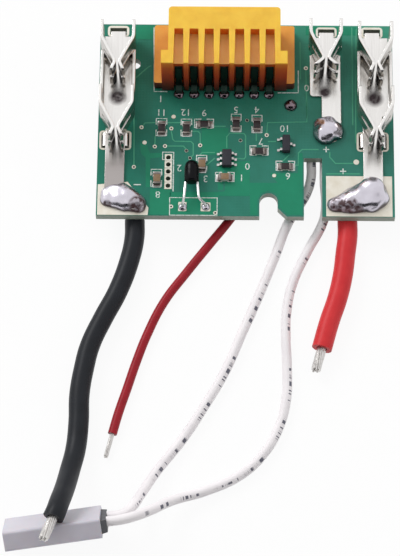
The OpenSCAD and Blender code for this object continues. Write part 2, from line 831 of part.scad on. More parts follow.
module thin_red_lead() {
    color("#a81c2b") tube(thin_red_route, thin_d);
}

module white_lead_1() {
    color("#dcd7d9") tube(white_route_1, white_d);
}

module white_lead_2() {
    color("#dcd7d9") tube(white_route_2, white_d);
}

// The bare end of a lead under the board, turned up through its hole
module lead_core(route, hole, d, height) {
    color("#c9a26b") translate([0, front_y, 0])
        bare_wire([route[0], [hole[0], hole[1], route[0][2]], [hole[0], hole[1], height]], d);
}

module black_lead_core() {
    lead_core(black_route, b_minus_hole, thick_core_d, board_top + 0.9);
}

module thick_red_lead_core() {
    lead_core(thick_red_route, b_plus_hole, thick_core_d, board_top + 0.9);
}

module thin_red_lead_core() {
    lead_core(thin_red_route, balance_hole, thin_core_d, board_top + 0.5);
}

// The bare end of a white lead, which runs level into its joint
module white_end(route, joint) {
    color("#c9a26b") bare_wire([route[0], [joint[0], joint[1], route[0][2]]], thin_core_d);
}

module white_lead_core_1() {
    translate([0, front_y, 0]) white_end(white_route_1, white_joints[0]);
}

module white_lead_core_2() {
    translate([0, front_y, 0]) white_end(white_route_2, white_joints[1]);
}

module lead_tip(route, d) {
    color("#cfcdca") translate([0, front_y, 0]) bare_wire(route, d);
}

module black_lead_tip() {
    lead_tip(black_tip_route, thick_core_d);
}

module thick_red_lead_tip() {
    lead_tip(thick_red_tip_route, thick_core_d);
}

module thin_red_lead_tip() {
    lead_tip(thin_red_tip_route, thin_core_d);
}

circuit_board();
b_minus_terminal();
b_plus_terminal();
charge_terminal();
connector_housing();
for (i = [1:contact_count]) signal_contact(i);
signal_solder();
tab_solder();
b_minus_solder();
b_plus_solder();
charge_solder();
balance_solder();
white_lead_solder();
for (i = [1:len(resistors)]) resistor(i);
for (i = [1:len(capacitors)]) capacitor(i);
monitor_chip();
monitor_chip_leads();
transistor();
transistor_leads();
thermistor_bead();
thermistor_lead_left();
thermistor_lead_right();
thermistor_solder();
thermal_switch_case();
thermal_switch_potting();
black_lead();
thick_red_lead();
thin_red_lead();
white_lead_1();
white_lead_2();
black_lead_core();
thick_red_lead_core();
thin_red_lead_core();
white_lead_core_1();
white_lead_core_2();
black_lead_tip();
thick_red_lead_tip();
thin_red_lead_tip();
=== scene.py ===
# A battery management board with its leads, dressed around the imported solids.
import functools
import math

import bmesh
import bpy
from mathutils import Matrix, Quaternion, Vector, noise


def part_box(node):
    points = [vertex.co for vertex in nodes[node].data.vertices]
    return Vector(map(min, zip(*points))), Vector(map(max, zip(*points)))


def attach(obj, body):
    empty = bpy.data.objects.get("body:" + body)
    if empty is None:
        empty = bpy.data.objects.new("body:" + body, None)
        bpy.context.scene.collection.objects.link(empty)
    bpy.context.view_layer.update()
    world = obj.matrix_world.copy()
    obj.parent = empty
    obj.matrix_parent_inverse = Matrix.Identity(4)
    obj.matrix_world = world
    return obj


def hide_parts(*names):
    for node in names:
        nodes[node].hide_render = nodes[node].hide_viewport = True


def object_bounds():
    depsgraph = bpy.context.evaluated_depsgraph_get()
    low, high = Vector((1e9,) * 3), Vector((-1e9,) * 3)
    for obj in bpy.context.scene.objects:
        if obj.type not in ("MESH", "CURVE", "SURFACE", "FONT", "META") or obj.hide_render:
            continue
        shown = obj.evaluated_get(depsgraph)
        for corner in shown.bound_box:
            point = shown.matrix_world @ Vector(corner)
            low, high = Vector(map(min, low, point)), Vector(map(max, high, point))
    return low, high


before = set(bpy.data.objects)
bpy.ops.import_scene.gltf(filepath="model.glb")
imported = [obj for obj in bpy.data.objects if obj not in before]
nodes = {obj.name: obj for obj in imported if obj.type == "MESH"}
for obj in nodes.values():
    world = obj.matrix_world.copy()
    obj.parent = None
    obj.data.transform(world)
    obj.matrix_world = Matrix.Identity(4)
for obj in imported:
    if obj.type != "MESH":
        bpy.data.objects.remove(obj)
cadLow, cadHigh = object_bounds()
mm = 0.001
boardLow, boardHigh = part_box("circuit_board")
frontEdge = boardLow.y
boardTop = boardHigh.z
boardThick = (boardHigh.z - boardLow.z) / mm
scene = bpy.context.scene
print("frame loaded,", len(nodes), "solids")


def onBoard(x, y, z=0.0):
    # x along the board, y back from its front edge, z over its top face, in millimetres
    return Vector((x * mm, frontEdge + y * mm, boardTop + z * mm))


def onTable(x, y, z):
    # the same, with z over the table
    return Vector((x * mm, frontEdge + y * mm, z * mm))


# ---- camera

camera = {
    "place": (-2.7247, -190.473, 411.116),
    "downDeg": 68.245,
    "yawDeg": -1.617,
    "rollDeg": -1.056,
    "lensMm": 174.564,
    "sensorMm": 36,
}


def makeCamera(c):
    data = bpy.data.cameras.new("camera")
    data.lens = c["lensMm"]
    data.sensor_width = c["sensorMm"]
    data.clip_start, data.clip_end = 0.02, 10
    obj = bpy.data.objects.new("camera", data)
    down, yaw = math.radians(c["downDeg"]), math.radians(c["yawDeg"])
    ahead = Vector((math.sin(yaw) * math.cos(down), math.cos(yaw) * math.cos(down), -math.sin(down)))
    obj.rotation_mode = "QUATERNION"
    roll = Quaternion((0, 0, 1), math.radians(c["rollDeg"]))
    obj.rotation_quaternion = ahead.to_track_quat("-Z", "Y") @ roll
    obj.location = Vector(c["place"]) * mm
    scene.collection.objects.link(obj)
    scene.camera = obj


makeCamera(camera)
print("camera set")


# ---- meshes

def finishPiece(name, mesh, materials, stands=(), smoothDeg=35):
    mesh.name = name
    obj = bpy.data.objects.new(name, mesh)
    scene.collection.objects.link(obj)
    for m in materials:
        mesh.materials.append(m)
    if smoothDeg:
        mesh.shade_smooth()
        mesh.set_sharp_from_angle(angle=math.radians(smoothDeg))
    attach(obj, "root")
    if stands:
        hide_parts(*stands)
    return obj


def pieceName(node):
    # white_lead_1 becomes whiteLead1
    first, *rest = node.split("_")
    return first + "".join(part.capitalize() for part in rest)


def paint(material, *names):
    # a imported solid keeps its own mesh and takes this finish
    for name in names:
        nodes[name].data.materials.clear()
        nodes[name].data.materials.append(material)


def meshFrom(bm, turnOut=True):
    if turnOut:
        bmesh.ops.recalc_face_normals(bm, faces=bm.faces)
    mesh = bpy.data.meshes.new("mesh")
    bm.to_mesh(mesh)
    bm.free()
    return mesh


def curveMesh(data):
    obj = bpy.data.objects.new("curve", data)
    mesh = bpy.data.meshes.new_from_object(obj)
    bpy.data.objects.remove(obj)
    bpy.data.curves.remove(data)
    return mesh


def tubeCurve(name, radius, resolution=1):
    # a curve without splines yet, which becomes round tubes of this radius in metres
    data = bpy.data.curves.new(name, "CURVE")
    data.dimensions = "3D"
    data.bevel_depth = radius
    data.bevel_resolution = resolution
    return data


def takeMesh(bm, mesh, material=0):
    for polygon in mesh.polygons:
        polygon.material_index = material
    bm.from_mesh(mesh)
    bpy.data.meshes.remove(mesh)


def blockInto(bm, centre, size, turnDeg, bevel, material):
    # a block centred on a point in metres, with sizes in millimetres
    place = Matrix.Translation(centre) @ Matrix.Rotation(math.radians(turnDeg), 4, "Z")
    place = place @ Matrix.Diagonal((*[s * mm for s in size], 1))
    verts = bmesh.ops.create_cube(bm, size=1, matrix=place)["verts"]
    for f in {f for v in verts for f in v.link_faces}:
        f.material_index = material
    edges = {e for v in verts for e in v.link_edges}
    bmesh.ops.bevel(bm, geom=list(edges), offset=bevel * mm, affect="EDGES", segments=2, profile=0.5,
                    material=-1)


def arc(x, y, r, startDeg, stepDeg, count):
    angles = [math.radians(startDeg + stepDeg * i) for i in range(count)]
    return [(x + r * math.cos(a), y + r * math.sin(a)) for a in angles]


def circle(x, y, r, count=16):
    return arc(x, y, r, 0, 360 / count, count)


def square(x, y, half):
    # with the points of a circle, so that it takes a round hole
    reach = [(cx, cy, half / max(abs(cx), abs(cy))) for cx, cy in circle(0, 0, 1)]
    return [(x + cx * r, y + cy * r) for cx, cy, r in reach]


def box(left, front, right, back):
    return [(left, front), (right, front), (right, back), (left, back)]


def roundBox(left, front, right, back, r):
    steps = 4
    corners = [(right - r, back - r, 0), (left + r, back - r, 90), (left + r, front + r, 180),
               (right - r, front + r, 270)]
    return [at for x, y, startDeg in corners for at in arc(x, y, r, startDeg, 90 / steps, steps + 1)]


def sheetInto(bm, outline, low, high, hole=None, material=0):
    # a flat sheet inside an outline, between two heights over the board; a hole has as many points as it
    verts = [bm.verts.new(onBoard(x, y, low)) for x, y in outline]
    if hole:
        inner = [bm.verts.new(onBoard(x, y, low)) for x, y in hole]
        rims = [bm.edges.new((loop[i], loop[i - 1])) for loop in (verts, inner) for i in range(len(loop))]
        faces = bmesh.ops.bridge_loops(bm, edges=rims)["faces"]
    else:
        rims = [bm.edges.new((verts[i], verts[i - 1])) for i in range(len(verts))]
        faces = bmesh.ops.edgeloop_fill(bm, edges=rims)["faces"]
    grown = bmesh.ops.extrude_face_region(bm, geom=faces)["geom"]
    top = [g for g in grown if isinstance(g, bmesh.types.BMVert)]
    bmesh.ops.translate(bm, verts=top, vec=(0, 0, (high - low) * mm))
    for f in {f for v in verts + top for f in v.link_faces}:
        f.material_index = material


def strokesInto(bm, lines, width, low, high, closed=False, material=0):
    # flat strips along lines of (x, y), between two heights over the board
    data = tubeCurve("strokes", width / 2 * mm)
    data.use_fill_caps = True
    for line in lines:
        spline = data.splines.new("POLY")
        spline.points.add(len(line) - 1)
        spline.use_cyclic_u = closed
        for p, at in zip(spline.points, line):
            p.co = (*onBoard(*at), 1)
    mesh = curveMesh(data)
    middle = boardTop + (low + high) / 2 * mm
    mesh.transform(Matrix.Translation((0, 0, middle)) @ Matrix.Diagonal((1, 1, (high - low) / width, 1))
                   @ Matrix.Translation((0, 0, -boardTop)))
    takeMesh(bm, mesh, material)


def figuresInto(bm, text, x, y, size, low, high):
    # plain printed figures centred on a point of the board, which read from its back edge
    data = bpy.data.curves.new("figures", "FONT")
    data.body = text
    data.size = size * mm
    data.align_x, data.align_y = "CENTER", "CENTER"
    data.extrude = (high - low) / 2 * mm
    data.resolution_u = 3
    mesh = curveMesh(data)
    mesh.transform(Matrix.Translation(onBoard(x, y, (low + high) / 2)) @ Matrix.Rotation(math.pi, 4, "Z"))
    takeMesh(bm, mesh)


def mergedCopy(name):
    bm = bmesh.new()
    bm.from_mesh(nodes[name].data)
    bmesh.ops.remove_doubles(bm, verts=bm.verts, dist=1e-6)
    return bm


def softened(bm, voxelMm, rounds, lumpMm, lumpSizeMm):
    # remeshes a solid evenly, smooths it and gives it the slight lumps of set metal
    obj = bpy.data.objects.new("softened", meshFrom(bm, False))
    scene.collection.objects.link(obj)
    remesh = obj.modifiers.new("remesh", "REMESH")
    remesh.mode = "VOXEL"
    remesh.voxel_size = voxelMm * mm
    mesh = bpy.data.meshes.new_from_object(obj.evaluated_get(bpy.context.evaluated_depsgraph_get()))
    bpy.data.objects.remove(obj)
    out = bmesh.new()
    takeMesh(out, mesh)
    for i in range(rounds):
        bmesh.ops.smooth_vert(out, verts=out.verts, factor=0.5, use_axis_x=True, use_axis_y=True,
                              use_axis_z=True)
    out.normal_update()
    for v in out.verts:
        v.co += v.normal * noise.noise(v.co / (lumpSizeMm * mm)) * lumpMm * mm
    return out


# ---- materials

def linear(hexColour):
    # sRGB hex to the linear values that shaders work in
    channels = [int(hexColour[i:i + 2], 16) / 255 for i in (1, 3, 5)]
    return (*[c / 12.92 if c <= 0.04045 else ((c + 0.055) / 1.055) ** 2.4 for c in channels], 1)


def setInputs(node, values):
    # each is a plain value, a hex colour, a socket, or a node, which gives its first output in use
    for key, value in values.items():
        if isinstance(value, bpy.types.Node):
            value = next(out for out in value.outputs if out.enabled)
        if isinstance(value, bpy.types.NodeSocket):
            node.id_data.links.new(value, node.inputs[key])
        else:
            node.inputs[key].default_value = linear(value) if isinstance(value, str) else value


def addNode(tree, kind, values=None, stops=None, **settings):
    node = tree.nodes.new("ShaderNode" + kind)
    for key, value in settings.items():
        setattr(node, key, value)
    if stops:
        elements = node.color_ramp.elements
        while len(elements) < len(stops):
            elements.new(0.5)
        for element, (at, value) in zip(elements, stops):
            element.position = at
            element.color = linear(value) if isinstance(value, str) else (value, value, value, 1)
    setInputs(node, values or {})
    return node


def startTree(owner):
    # empties the nodes of a material or a world, and gives the function that adds one
    owner.use_nodes = True
    owner.node_tree.nodes.clear()
    return functools.partial(addNode, owner.node_tree)


def newMaterial(name, **values):
    # gives the function that adds a node, the shader, and the place on the board in millimetres:
    # x, y from the front edge and z over the top
    material = bpy.data.materials.new(name)
    add = startTree(material)
    values = {key.replace("_", " "): value for key, value in values.items()}
    shader = add("BsdfPrincipled", values)
    add("OutputMaterial", {"Surface": shader})
    spot = add("TexCoord").outputs["Object"]
    place = add("Mapping", {"Vector": spot, "Scale": (1 / mm, 1 / mm, 1 / mm),
                            "Location": (0, -frontEdge / mm, -boardTop / mm)})
    return material, add, shader, place


def mottledMaterial(name, dark, light, tone, relief=None, grain=None, stretch=None, **values):
    # two tones that run into each other in a noise pattern; relief is the strength of the bumps and their
    # depth in millimetres, grain a finer noise for them, and stretch draws the pattern out along an axis
    material, add, shader, place = newMaterial(name, **values)
    if stretch:
        place = add("Mapping", {"Vector": place, "Scale": stretch})
    tones = add("TexNoise", {"Vector": place, **tone})
    colour = add("Mix", {0: tones, 6: dark, 7: light}, data_type="RGBA")
    setInputs(shader, {"Base Color": colour})
    if relief:
        height = add("TexNoise", {"Vector": place, **grain}) if grain else tones
        strength, depth = relief
        bump = add("Bump", {"Height": height, "Strength": strength, "Distance": depth * mm})
        setInputs(shader, {"Normal": bump})
    return material


def nearSpots(add, place, spots, core, also=None):
    # 1 inside each spot's core, which is a share of its reach, and 0 past its reach: a spot is x, y and reach
    found = also
    for x, y, reach in spots:
        away = add("VectorMath", {0: place, 1: (x, y, 0)}, operation="DISTANCE")
        near = add("MapRange", {"Value": away, "From Min": reach, "From Max": reach * core})
        found = add("Math", {0: found, 1: near}, operation="MAXIMUM") if found else near
    return found


def facing(add):
    # how far the surface faces right, back and up, from -1 to 1
    return add("SeparateXYZ", {0: add("NewGeometry").outputs["Normal"]}).outputs


# Silicone rubber, extruded over strands: a soft satin skin with faint unevenness
def siliconeMaterial(name, dark, light, roughness):
    return mottledMaterial(name, dark, light, tone={"Scale": 0.4, "Detail": 3.0}, grain={"Scale": 3.0},
                           relief=(0.4, 0.02), Roughness=roughness, IOR=1.43, Specular_IOR_Level=0.25)


# PVC, extruded and ink printed: white satin skin, with worn dashes of print along its upper side
def printedPvcMaterial():
    material, add, shader, place = newMaterial("white extruded PVC", Roughness=0.42, IOR=1.52,
                                                Specular_IOR_Level=0.3)
    along = add("Attribute", attribute_name="along").outputs["Fac"]
    marks = add("TexNoise", {"W": along, "Scale": 0.95, "Detail": 2.0, "Roughness": 0.6},
                noise_dimensions="1D")
    inked = add("ValToRGB", {0: marks}, [(0.52, 0.0), (0.56, 1.0)])
    groups = add("TexNoise", {"W": along, "Scale": 0.16}, noise_dimensions="1D")
    grouped = add("ValToRGB", {0: groups}, [(0.47, 0.0), (0.5, 1.0)])
    # the print runs as a narrow line along one side of the skin
    normal = add("NewGeometry").outputs["Normal"]
    toSide = add("VectorMath", {0: normal, 1: (0.62, -0.32, 0.72)}, operation="DOT_PRODUCT")
    onLine = add("ValToRGB", {0: toSide}, [(0.88, 0.0), (0.92, 0.9)])
    dashes = add("Math", {0: inked, 1: grouped}, operation="MULTIPLY")
    dashes = add("Math", {0: dashes, 1: onLine}, operation="MULTIPLY")
    tone = add("TexNoise", {"Vector": place, "Scale": 0.3})
    skin = add("Mix", {0: tone, 6: "#ebe6e9", 7: "#faf6f7"}, data_type="RGBA")
    colour = add("Mix", {0: dashes, 6: skin, 7: "#43465a"}, data_type="RGBA")
    setInputs(shader, {"Base Color": colour})
    return material


# ---- leads, each from its joint on the board to its far end

# a route's point is its x and its y from the board's front edge, and its height where it isn't lying down
leadShapes = {
    "black_lead": {
        "diameter": 3.3, "wall": 0.75, "hollow": 1.2,
        "route": [
            (-18.2, 0.5), (-18.2, -2.6), (-18.9, -6.5), (-20.7, -12), (-23.1, -17), (-25, -21.5),
            (-25.9, -25.5), (-26.5, -30), (-26.5, -34.5), (-26.8, -39, 1.9), (-27.5, -43, 3.2),
            (-28.2, -47.3, 6), (-28.8, -50.2, 8.3), (-29.2, -51.9, 9.2), (-29.6, -52.9, 9.3)],
        "tipEnd": (-31.1, -56.6, 9.6), "tipRadius": 0.8, "slot": "black_insulation",
        "stiffness": "medium", "farEnd": "bare",
    },
    "thick_red_lead": {  # too short to be a free cord, so it has no far end
        "diameter": 3.3, "wall": 0.75, "hollow": 1.2,
        "route": [
            (16.85, 0.6), (16.85, -2), (16.5, -5), (16, -9), (15.1, -13), (13.8, -17), (12.5, -21.8)],
        "tipEnd": (11.45, -25.7, 1.65), "tipRadius": 0.8, "slot": "red_insulation",
    },
    "thin_red_lead": {
        "diameter": 1.5, "wall": 0.35, "hollow": 1.2,
        "route": [
            (7.1, 19.1), (6, 16), (4.2, 12), (1.8, 8), (-0.6, 4), (-2.9, 0.6), (-5.6, -3), (-9.6, -8.4),
            (-13.2, -13.6), (-15.8, -19.2), (-17.5, -24), (-18.9, -28.6), (-20.2, -32.8), (-21.1, -36.3)],
        "tipEnd": (-22.1, -40.3, 0.75), "tipRadius": 0.38, "slot": "dark_red_insulation",
        "stiffness": "limp", "farEnd": "bare",
    },
    "white_lead_1": {
        "diameter": 1.6,
        "route": [
            (10.9, 12, 2.5), (10.9, 10.5, 2.5), (10.9, 8.5, 1.8), (10.3, 6.2, 1.1), (9, 3.8), (7.3, 1),
            (4.9, -5.5), (2.3, -12.3), (-0.6, -19.4), (-3.2, -25.7), (-6.4, -31.5), (-9.9, -37.2),
            (-13.8, -42.5, 1.1), (-16.3, -46.8, 2.2), (-17.7, -49.5, 3.9), (-19.05, -50.71, 4.35),
            (-21.42, -51.03, 4.17)],
        "stiffness": "limp", "slot": "white_insulation", "farEnd": "fitting",
        "carries": ["thermal_switch_case", "thermal_switch_potting"],
    },
    "white_lead_2": {
        "diameter": 1.6,
        "route": [
            (13.1, 11.3, 2.5), (13.1, 9.8, 2.5), (13.1, 7.5, 1.8), (13.3, 5, 1.1), (13.3, 3),
            (12.9, 0.9), (10.2, -4.6), (7.8, -10.2), (6.8, -15.4), (6.7, -19.5), (6.9, -24.8),
            (6.8, -29.9), (5.5, -35.2), (3.1, -39.5), (-0.5, -43), (-5.8, -45.7, 1.1),
            (-11.2, -47.8, 2.4), (-14.6, -50.2, 4.9), (-17, -51.6, 6.3), (-19.01, -52.28, 6.67),
            (-21.38, -52.6, 6.5)],
        "stiffness": "limp", "slot": "white_insulation", "farEnd": "object",
    },
}


def smoothRoute(route, diameter=0.0, resolution=1):
    # the soft line through the route's points, or the tube around it
    data = tubeCurve("route", diameter / 2 * mm, resolution)
    data.resolution_u = 6
    spline = data.splines.new("BEZIER")
    spline.bezier_points.add(len(route) - 1)
    for p, at in zip(spline.bezier_points, route):
        p.co = onTable(*at)
        p.handle_left_type = p.handle_right_type = "AUTO"
    return curveMesh(data)


def markAlong(mesh, line):
    # writes each point's distance from the lead's start, in millimetres
    run = [0.0]
    for a, b in zip(line, line[1:]):
        run.append(run[-1] + (b - a).length / mm)
    nearest = [min(range(len(line)), key=lambda i: (line[i] - v.co).length_squared) for v in mesh.vertices]
    mesh.attributes.new("along", "FLOAT", "POINT").data.foreach_set("value", [run[i] for i in nearest])


strandTwist = {
    "rings": (1, 6, 12),  # strands in the middle and in each ring around it
    "hidden": 1.6,  # how far they reach back into the insulation
    "turn": 1.1,  # the twist from end to end, in radians
    "ragged": 0.12,  # one step in the unevenness of the cut
    "crowd": 1.12,  # how much thicker than its share each strand is, so that they press together
}


def strandBundle(name, start, end, radius, material, stands):
    # tinned strands with a slow twist, from inside the insulation to the cut end
    axis = (end - start).normalized()
    side = axis.cross(Vector((0, 0, 1))).normalized()
    up = side.cross(axis)
    steps, rings = 7, strandTwist["rings"]
    strandRadius = radius / (2 * len(rings) - 1) * mm
    back = start - axis * strandTwist["hidden"] * mm
    data = tubeCurve(name, strandRadius * strandTwist["crowd"])
    data.use_fill_caps = True
    for ring, count in enumerate(rings):
        for i in range(count):
            spline = data.splines.new("POLY")
            spline.points.add(steps)
            length = (end - back).length - strandTwist["ragged"] * ((i * 7 + ring * 3) % 5) * mm
            for k, p in enumerate(spline.points):
                t = k / steps
                angle = math.tau * i / count + ring * 0.3 + strandTwist["turn"] * t
                out = 2 * ring * strandRadius * (0.97 + 0.03 * math.sin(3 * t + i))
                around = side * math.cos(angle) + up * math.sin(angle)
                p.co = (*(back + axis * length * t + around * out), 1)
    return finishPiece(name, curveMesh(data), [material], [stands], 50)


def cutEnd(bm, end, wallShare, depth):
    # makes the tube's open end at this point a cut wall of insulation, with a hollow behind it
    near = 3 * mm  # past the rim of the thickest lead, and far from the other end
    rim = [e for e in bm.edges if e.is_boundary and (e.verts[0].co - end).length < near]
    centre = sum((v.co for e in rim for v in e.verts), Vector()) / (2 * len(rim))
    inward = centre - rim[0].link_faces[0].calc_center_median()
    inward = -inward.project((rim[0].verts[0].co - centre).cross(rim[0].verts[1].co - centre)).normalized()
    wall = bmesh.ops.extrude_edge_only(bm, edges=rim)["geom"]
    verts = [g for g in wall if isinstance(g, bmesh.types.BMVert)]
    bmesh.ops.scale(bm, verts=verts, vec=[1 - wallShare] * 3, space=Matrix.Translation(-centre))
    mouth = [g for g in wall if isinstance(g, bmesh.types.BMEdge) and g.is_boundary]
    bore = bmesh.ops.extrude_edge_only(bm, edges=mouth)["geom"]
    deep = [g for g in bore if isinstance(g, bmesh.types.BMVert)]
    bmesh.ops.translate(bm, verts=deep, vec=inward * depth * mm)


def makeLead(node, shape, insulation, strands):
    name = pieceName(node)
    route = [(*at, shape["diameter"] / 2)[:3] for at in shape["route"]]
    line = [v.co.copy() for v in smoothRoute(route).vertices]
    bm = bmesh.new()
    bm.from_mesh(smoothRoute(route, shape["diameter"], 6))
    bmesh.ops.remove_doubles(bm, verts=bm.verts, dist=1e-6)
    if "tipEnd" in shape:
        start, end = onTable(*route[-1]), onTable(*shape["tipEnd"])
        cutEnd(bm, start, 2 * shape["wall"] / shape["diameter"], shape["hollow"])
        strandBundle(name + "Strands", start, end, shape["tipRadius"], strands, node + "_tip")
    bmesh.ops.holes_fill(bm, edges=[e for e in bm.edges if e.is_boundary], sides=0)
    mesh = meshFrom(bm)
    markAlong(mesh, line)
    piece = finishPiece(name, mesh, [insulation], [node], 60)
    core = node.replace("lead", "lead_core")
    paint(strands, core)


# Copper strands, twisted and dipped in tin: bright ridges with grey between them
strandMetal = mottledMaterial("dipped tinned copper strands", "#a9a5a2", "#efedeb",
                              tone={"Scale": 2.0, "Detail": 3.0}, grain={"Scale": 5.0}, relief=(0.6, 0.02),
                              Roughness=0.3, Metallic=1.0)
whitePvc = printedPvcMaterial()
insulations = {
    "black_lead": siliconeMaterial("black extruded silicone", "#17191d", "#24272d", 0.42),
    "thick_red_lead": siliconeMaterial("red extruded silicone", "#c92a30", "#dd3c3f", 0.4),
    "thin_red_lead": siliconeMaterial("dark red extruded silicone", "#8e1422", "#a81f2c", 0.38),
    "white_lead_1": whitePvc,
    "white_lead_2": whitePvc,
}
for node, shape in leadShapes.items():
    makeLead(node, shape, insulations[node], strandMetal)


# ---- board

# Epoxy solder mask over glass cloth, screen coated: satin green on both faces, painted lighter towards the
# right and the back as painted light, and the grey green cut edge of the laminate
def maskMaterial():
    material, add, shader, place = newMaterial("epoxy solder mask on glass laminate", Roughness=0.38,
                                               IOR=1.55, Specular_IOR_Level=0.2)
    across = add("SeparateXYZ", {0: place})
    # painted light: the green is made lighter towards the right and towards the back, where more light falls
    # on the board
    paintedLightRight = add("MapRange", {"Value": across.outputs["X"], "From Min": -20, "From Max": 20})
    paintedLightBack = add("MapRange", {"Value": across.outputs["Y"], "From Min": 14, "From Max": 34})
    base = add("Mix", {0: paintedLightRight, 6: "#1f7b67", 7: "#368171"}, data_type="RGBA")
    paintedLitBack = add("Mix", {0: paintedLightRight, 6: "#27806b", 7: "#3e957c"}, data_type="RGBA")
    mask = add("Mix", {0: paintedLightBack, 6: base, 7: paintedLitBack}, data_type="RGBA")
    # the glass cloth's threads lie about 0.5 mm apart and just show
    weave = [add("TexWave", {"Vector": place, "Scale": 0.62, "Distortion": 0.6},
                 bands_direction=axis) for axis in "XY"]
    cloth = add("Math", dict(enumerate(weave)), operation="ADD")
    mottle = add("TexNoise", {"Vector": place, "Scale": 0.35, "Detail": 4.0})
    shade = add("ValToRGB", {0: mottle}, [(0.3, "#e6efea"), (0.7, "#ffffff")])
    mask = add("Mix", {0: 1.0, 6: mask, 7: shade}, data_type="RGBA", blend_type="MULTIPLY")
    # cut edge: cloth layers as fine lines along it
    layers = add("TexWave", {"Vector": place, "Scale": 1.6, "Distortion": 1.2, "Detail": 2.0},
                 bands_direction="Z")
    edge = add("Mix", {0: layers, 6: "#7f8f85", 7: "#a3ab9c"}, data_type="RGBA")
    flat = add("Math", {0: facing(add)["Z"]}, operation="ABSOLUTE")
    face = add("Math", {0: flat, 1: 0.5}, operation="GREATER_THAN")
    colour = add("Mix", {0: face, 6: edge, 7: mask}, data_type="RGBA")
    bump = add("Bump", {"Height": cloth, "Strength": 0.25, "Distance": 0.02 * mm})
    setInputs(shader, {"Base Color": colour, "Normal": bump})
    return material


# The same mask where it lies on copper: brighter green, with the copper's mottling under it
def coveredCopperMaterial(name, dark, light):
    return mottledMaterial(name, dark, light, tone={"Scale": 0.3, "Detail": 5.0, "Roughness": 0.6},
                           relief=(0.3, 0.02), Roughness=0.34, IOR=1.55, Specular_IOR_Level=0.2)


# Epoxy ink, screen printed: flat white, thinner in places
def inkMaterial():
    material, add, shader, place = newMaterial("white epoxy print", Roughness=0.55, IOR=1.5)
    wear = add("TexNoise", {"Vector": place, "Scale": 2.6, "Detail": 3.0})
    colour = add("ValToRGB", {0: wear}, [(0.36, "#9fc2b2"), (0.5, "#e4ebe6")])
    setInputs(shader, {"Base Color": colour})
    return material


boardMask = maskMaterial()
pourMask = coveredCopperMaterial("solder mask on wide copper", "#137c5c", "#1e8f6c")
trackMask = coveredCopperMaterial("solder mask on a track", "#3d9a78", "#55ad8a")
ink = inkMaterial()
# Copper pads levelled with hot tin: creamy bright metal with soft thick and thin places
padTin = mottledMaterial("hot tin levelled copper", "#d2c9b4", "#f1eee6", tone={"Scale": 0.7, "Detail": 3.0},
                         relief=(0.5, 0.05), Roughness=0.42, Metallic=0.55)
# Drilled barrels: a dark disc over each plated hole, painted shade for the inside of the hole; the monitor
# chip's marker dot takes the same dark colour
holeShadeAndDot = mottledMaterial("painted hole shade and marker dot", "#0e1613", "#1d2b25", tone={"Scale": 4.0}, Roughness=0.6)
paint(boardMask, "circuit_board")

# heights over the board's top, in millimetres
layer = {"pour": 0.02, "gap": 0.03, "track": 0.035, "pad": 0.05, "print": 0.06, "dome": 0.09}

pours = {
    "upper": [
        [(-12.4, 4.2), (-4.5, 4.3), (-4.6, 9.3), (-2.6, 9.4), (-2.6, 9.9), (0.7, 9.9), (0.7, 3.6),
         (-4.5, 3.6), (-4.5, 0.2), (-12.3, 0.2)],
        box(-15.7, 0.2, -12.3, 4.7),
        [(4, 7.8), (8.6, 7.8), (8.6, 11.4), (9.4, 11.4), (9.35, 0.3), (6.95, 0.3), (5.6, 1.65), (5.6, 3),
         (5, 4.1), (3.8, 4.6), (2.6, 4.1), (2, 3), (2, 0.3), (0.8, 0.2), (0.7, 6), (5.3, 6)],
        box(-7.3, 11, -2.9, 15.9),
        [(-17.5, 13), (-16.5, 13.1), (-15.8, 11.2), (-13.8, 11.3), (-13.8, 10.5), (-15.8, 10.3), (-15.7, 5.1),
         (-16.4, 5.1), (-16.5, 10.3), (-17.3, 11.2)],
        [(10, 33.2), (11.6, 33.2), (11.6, 34.5), (15.3, 34.5), (15.3, 33.2), (18.5, 33.2), (18.5, 34.75),
         (10, 34.75)],
        box(-18.7, 32.2, -15.6, 34.8),
    ],
    "lower": [
        box(-17.5, 1, 2, 16), box(-10, 18.5, 2, 33),
        [(7.2, 0.6), (9.2, 0.6), (9.2, 11), (13, 11), (13, 0.6), (17, 0.6), (17, 12.2), (4.5, 12.2),
         (4.5, 5.4)],
    ],
}

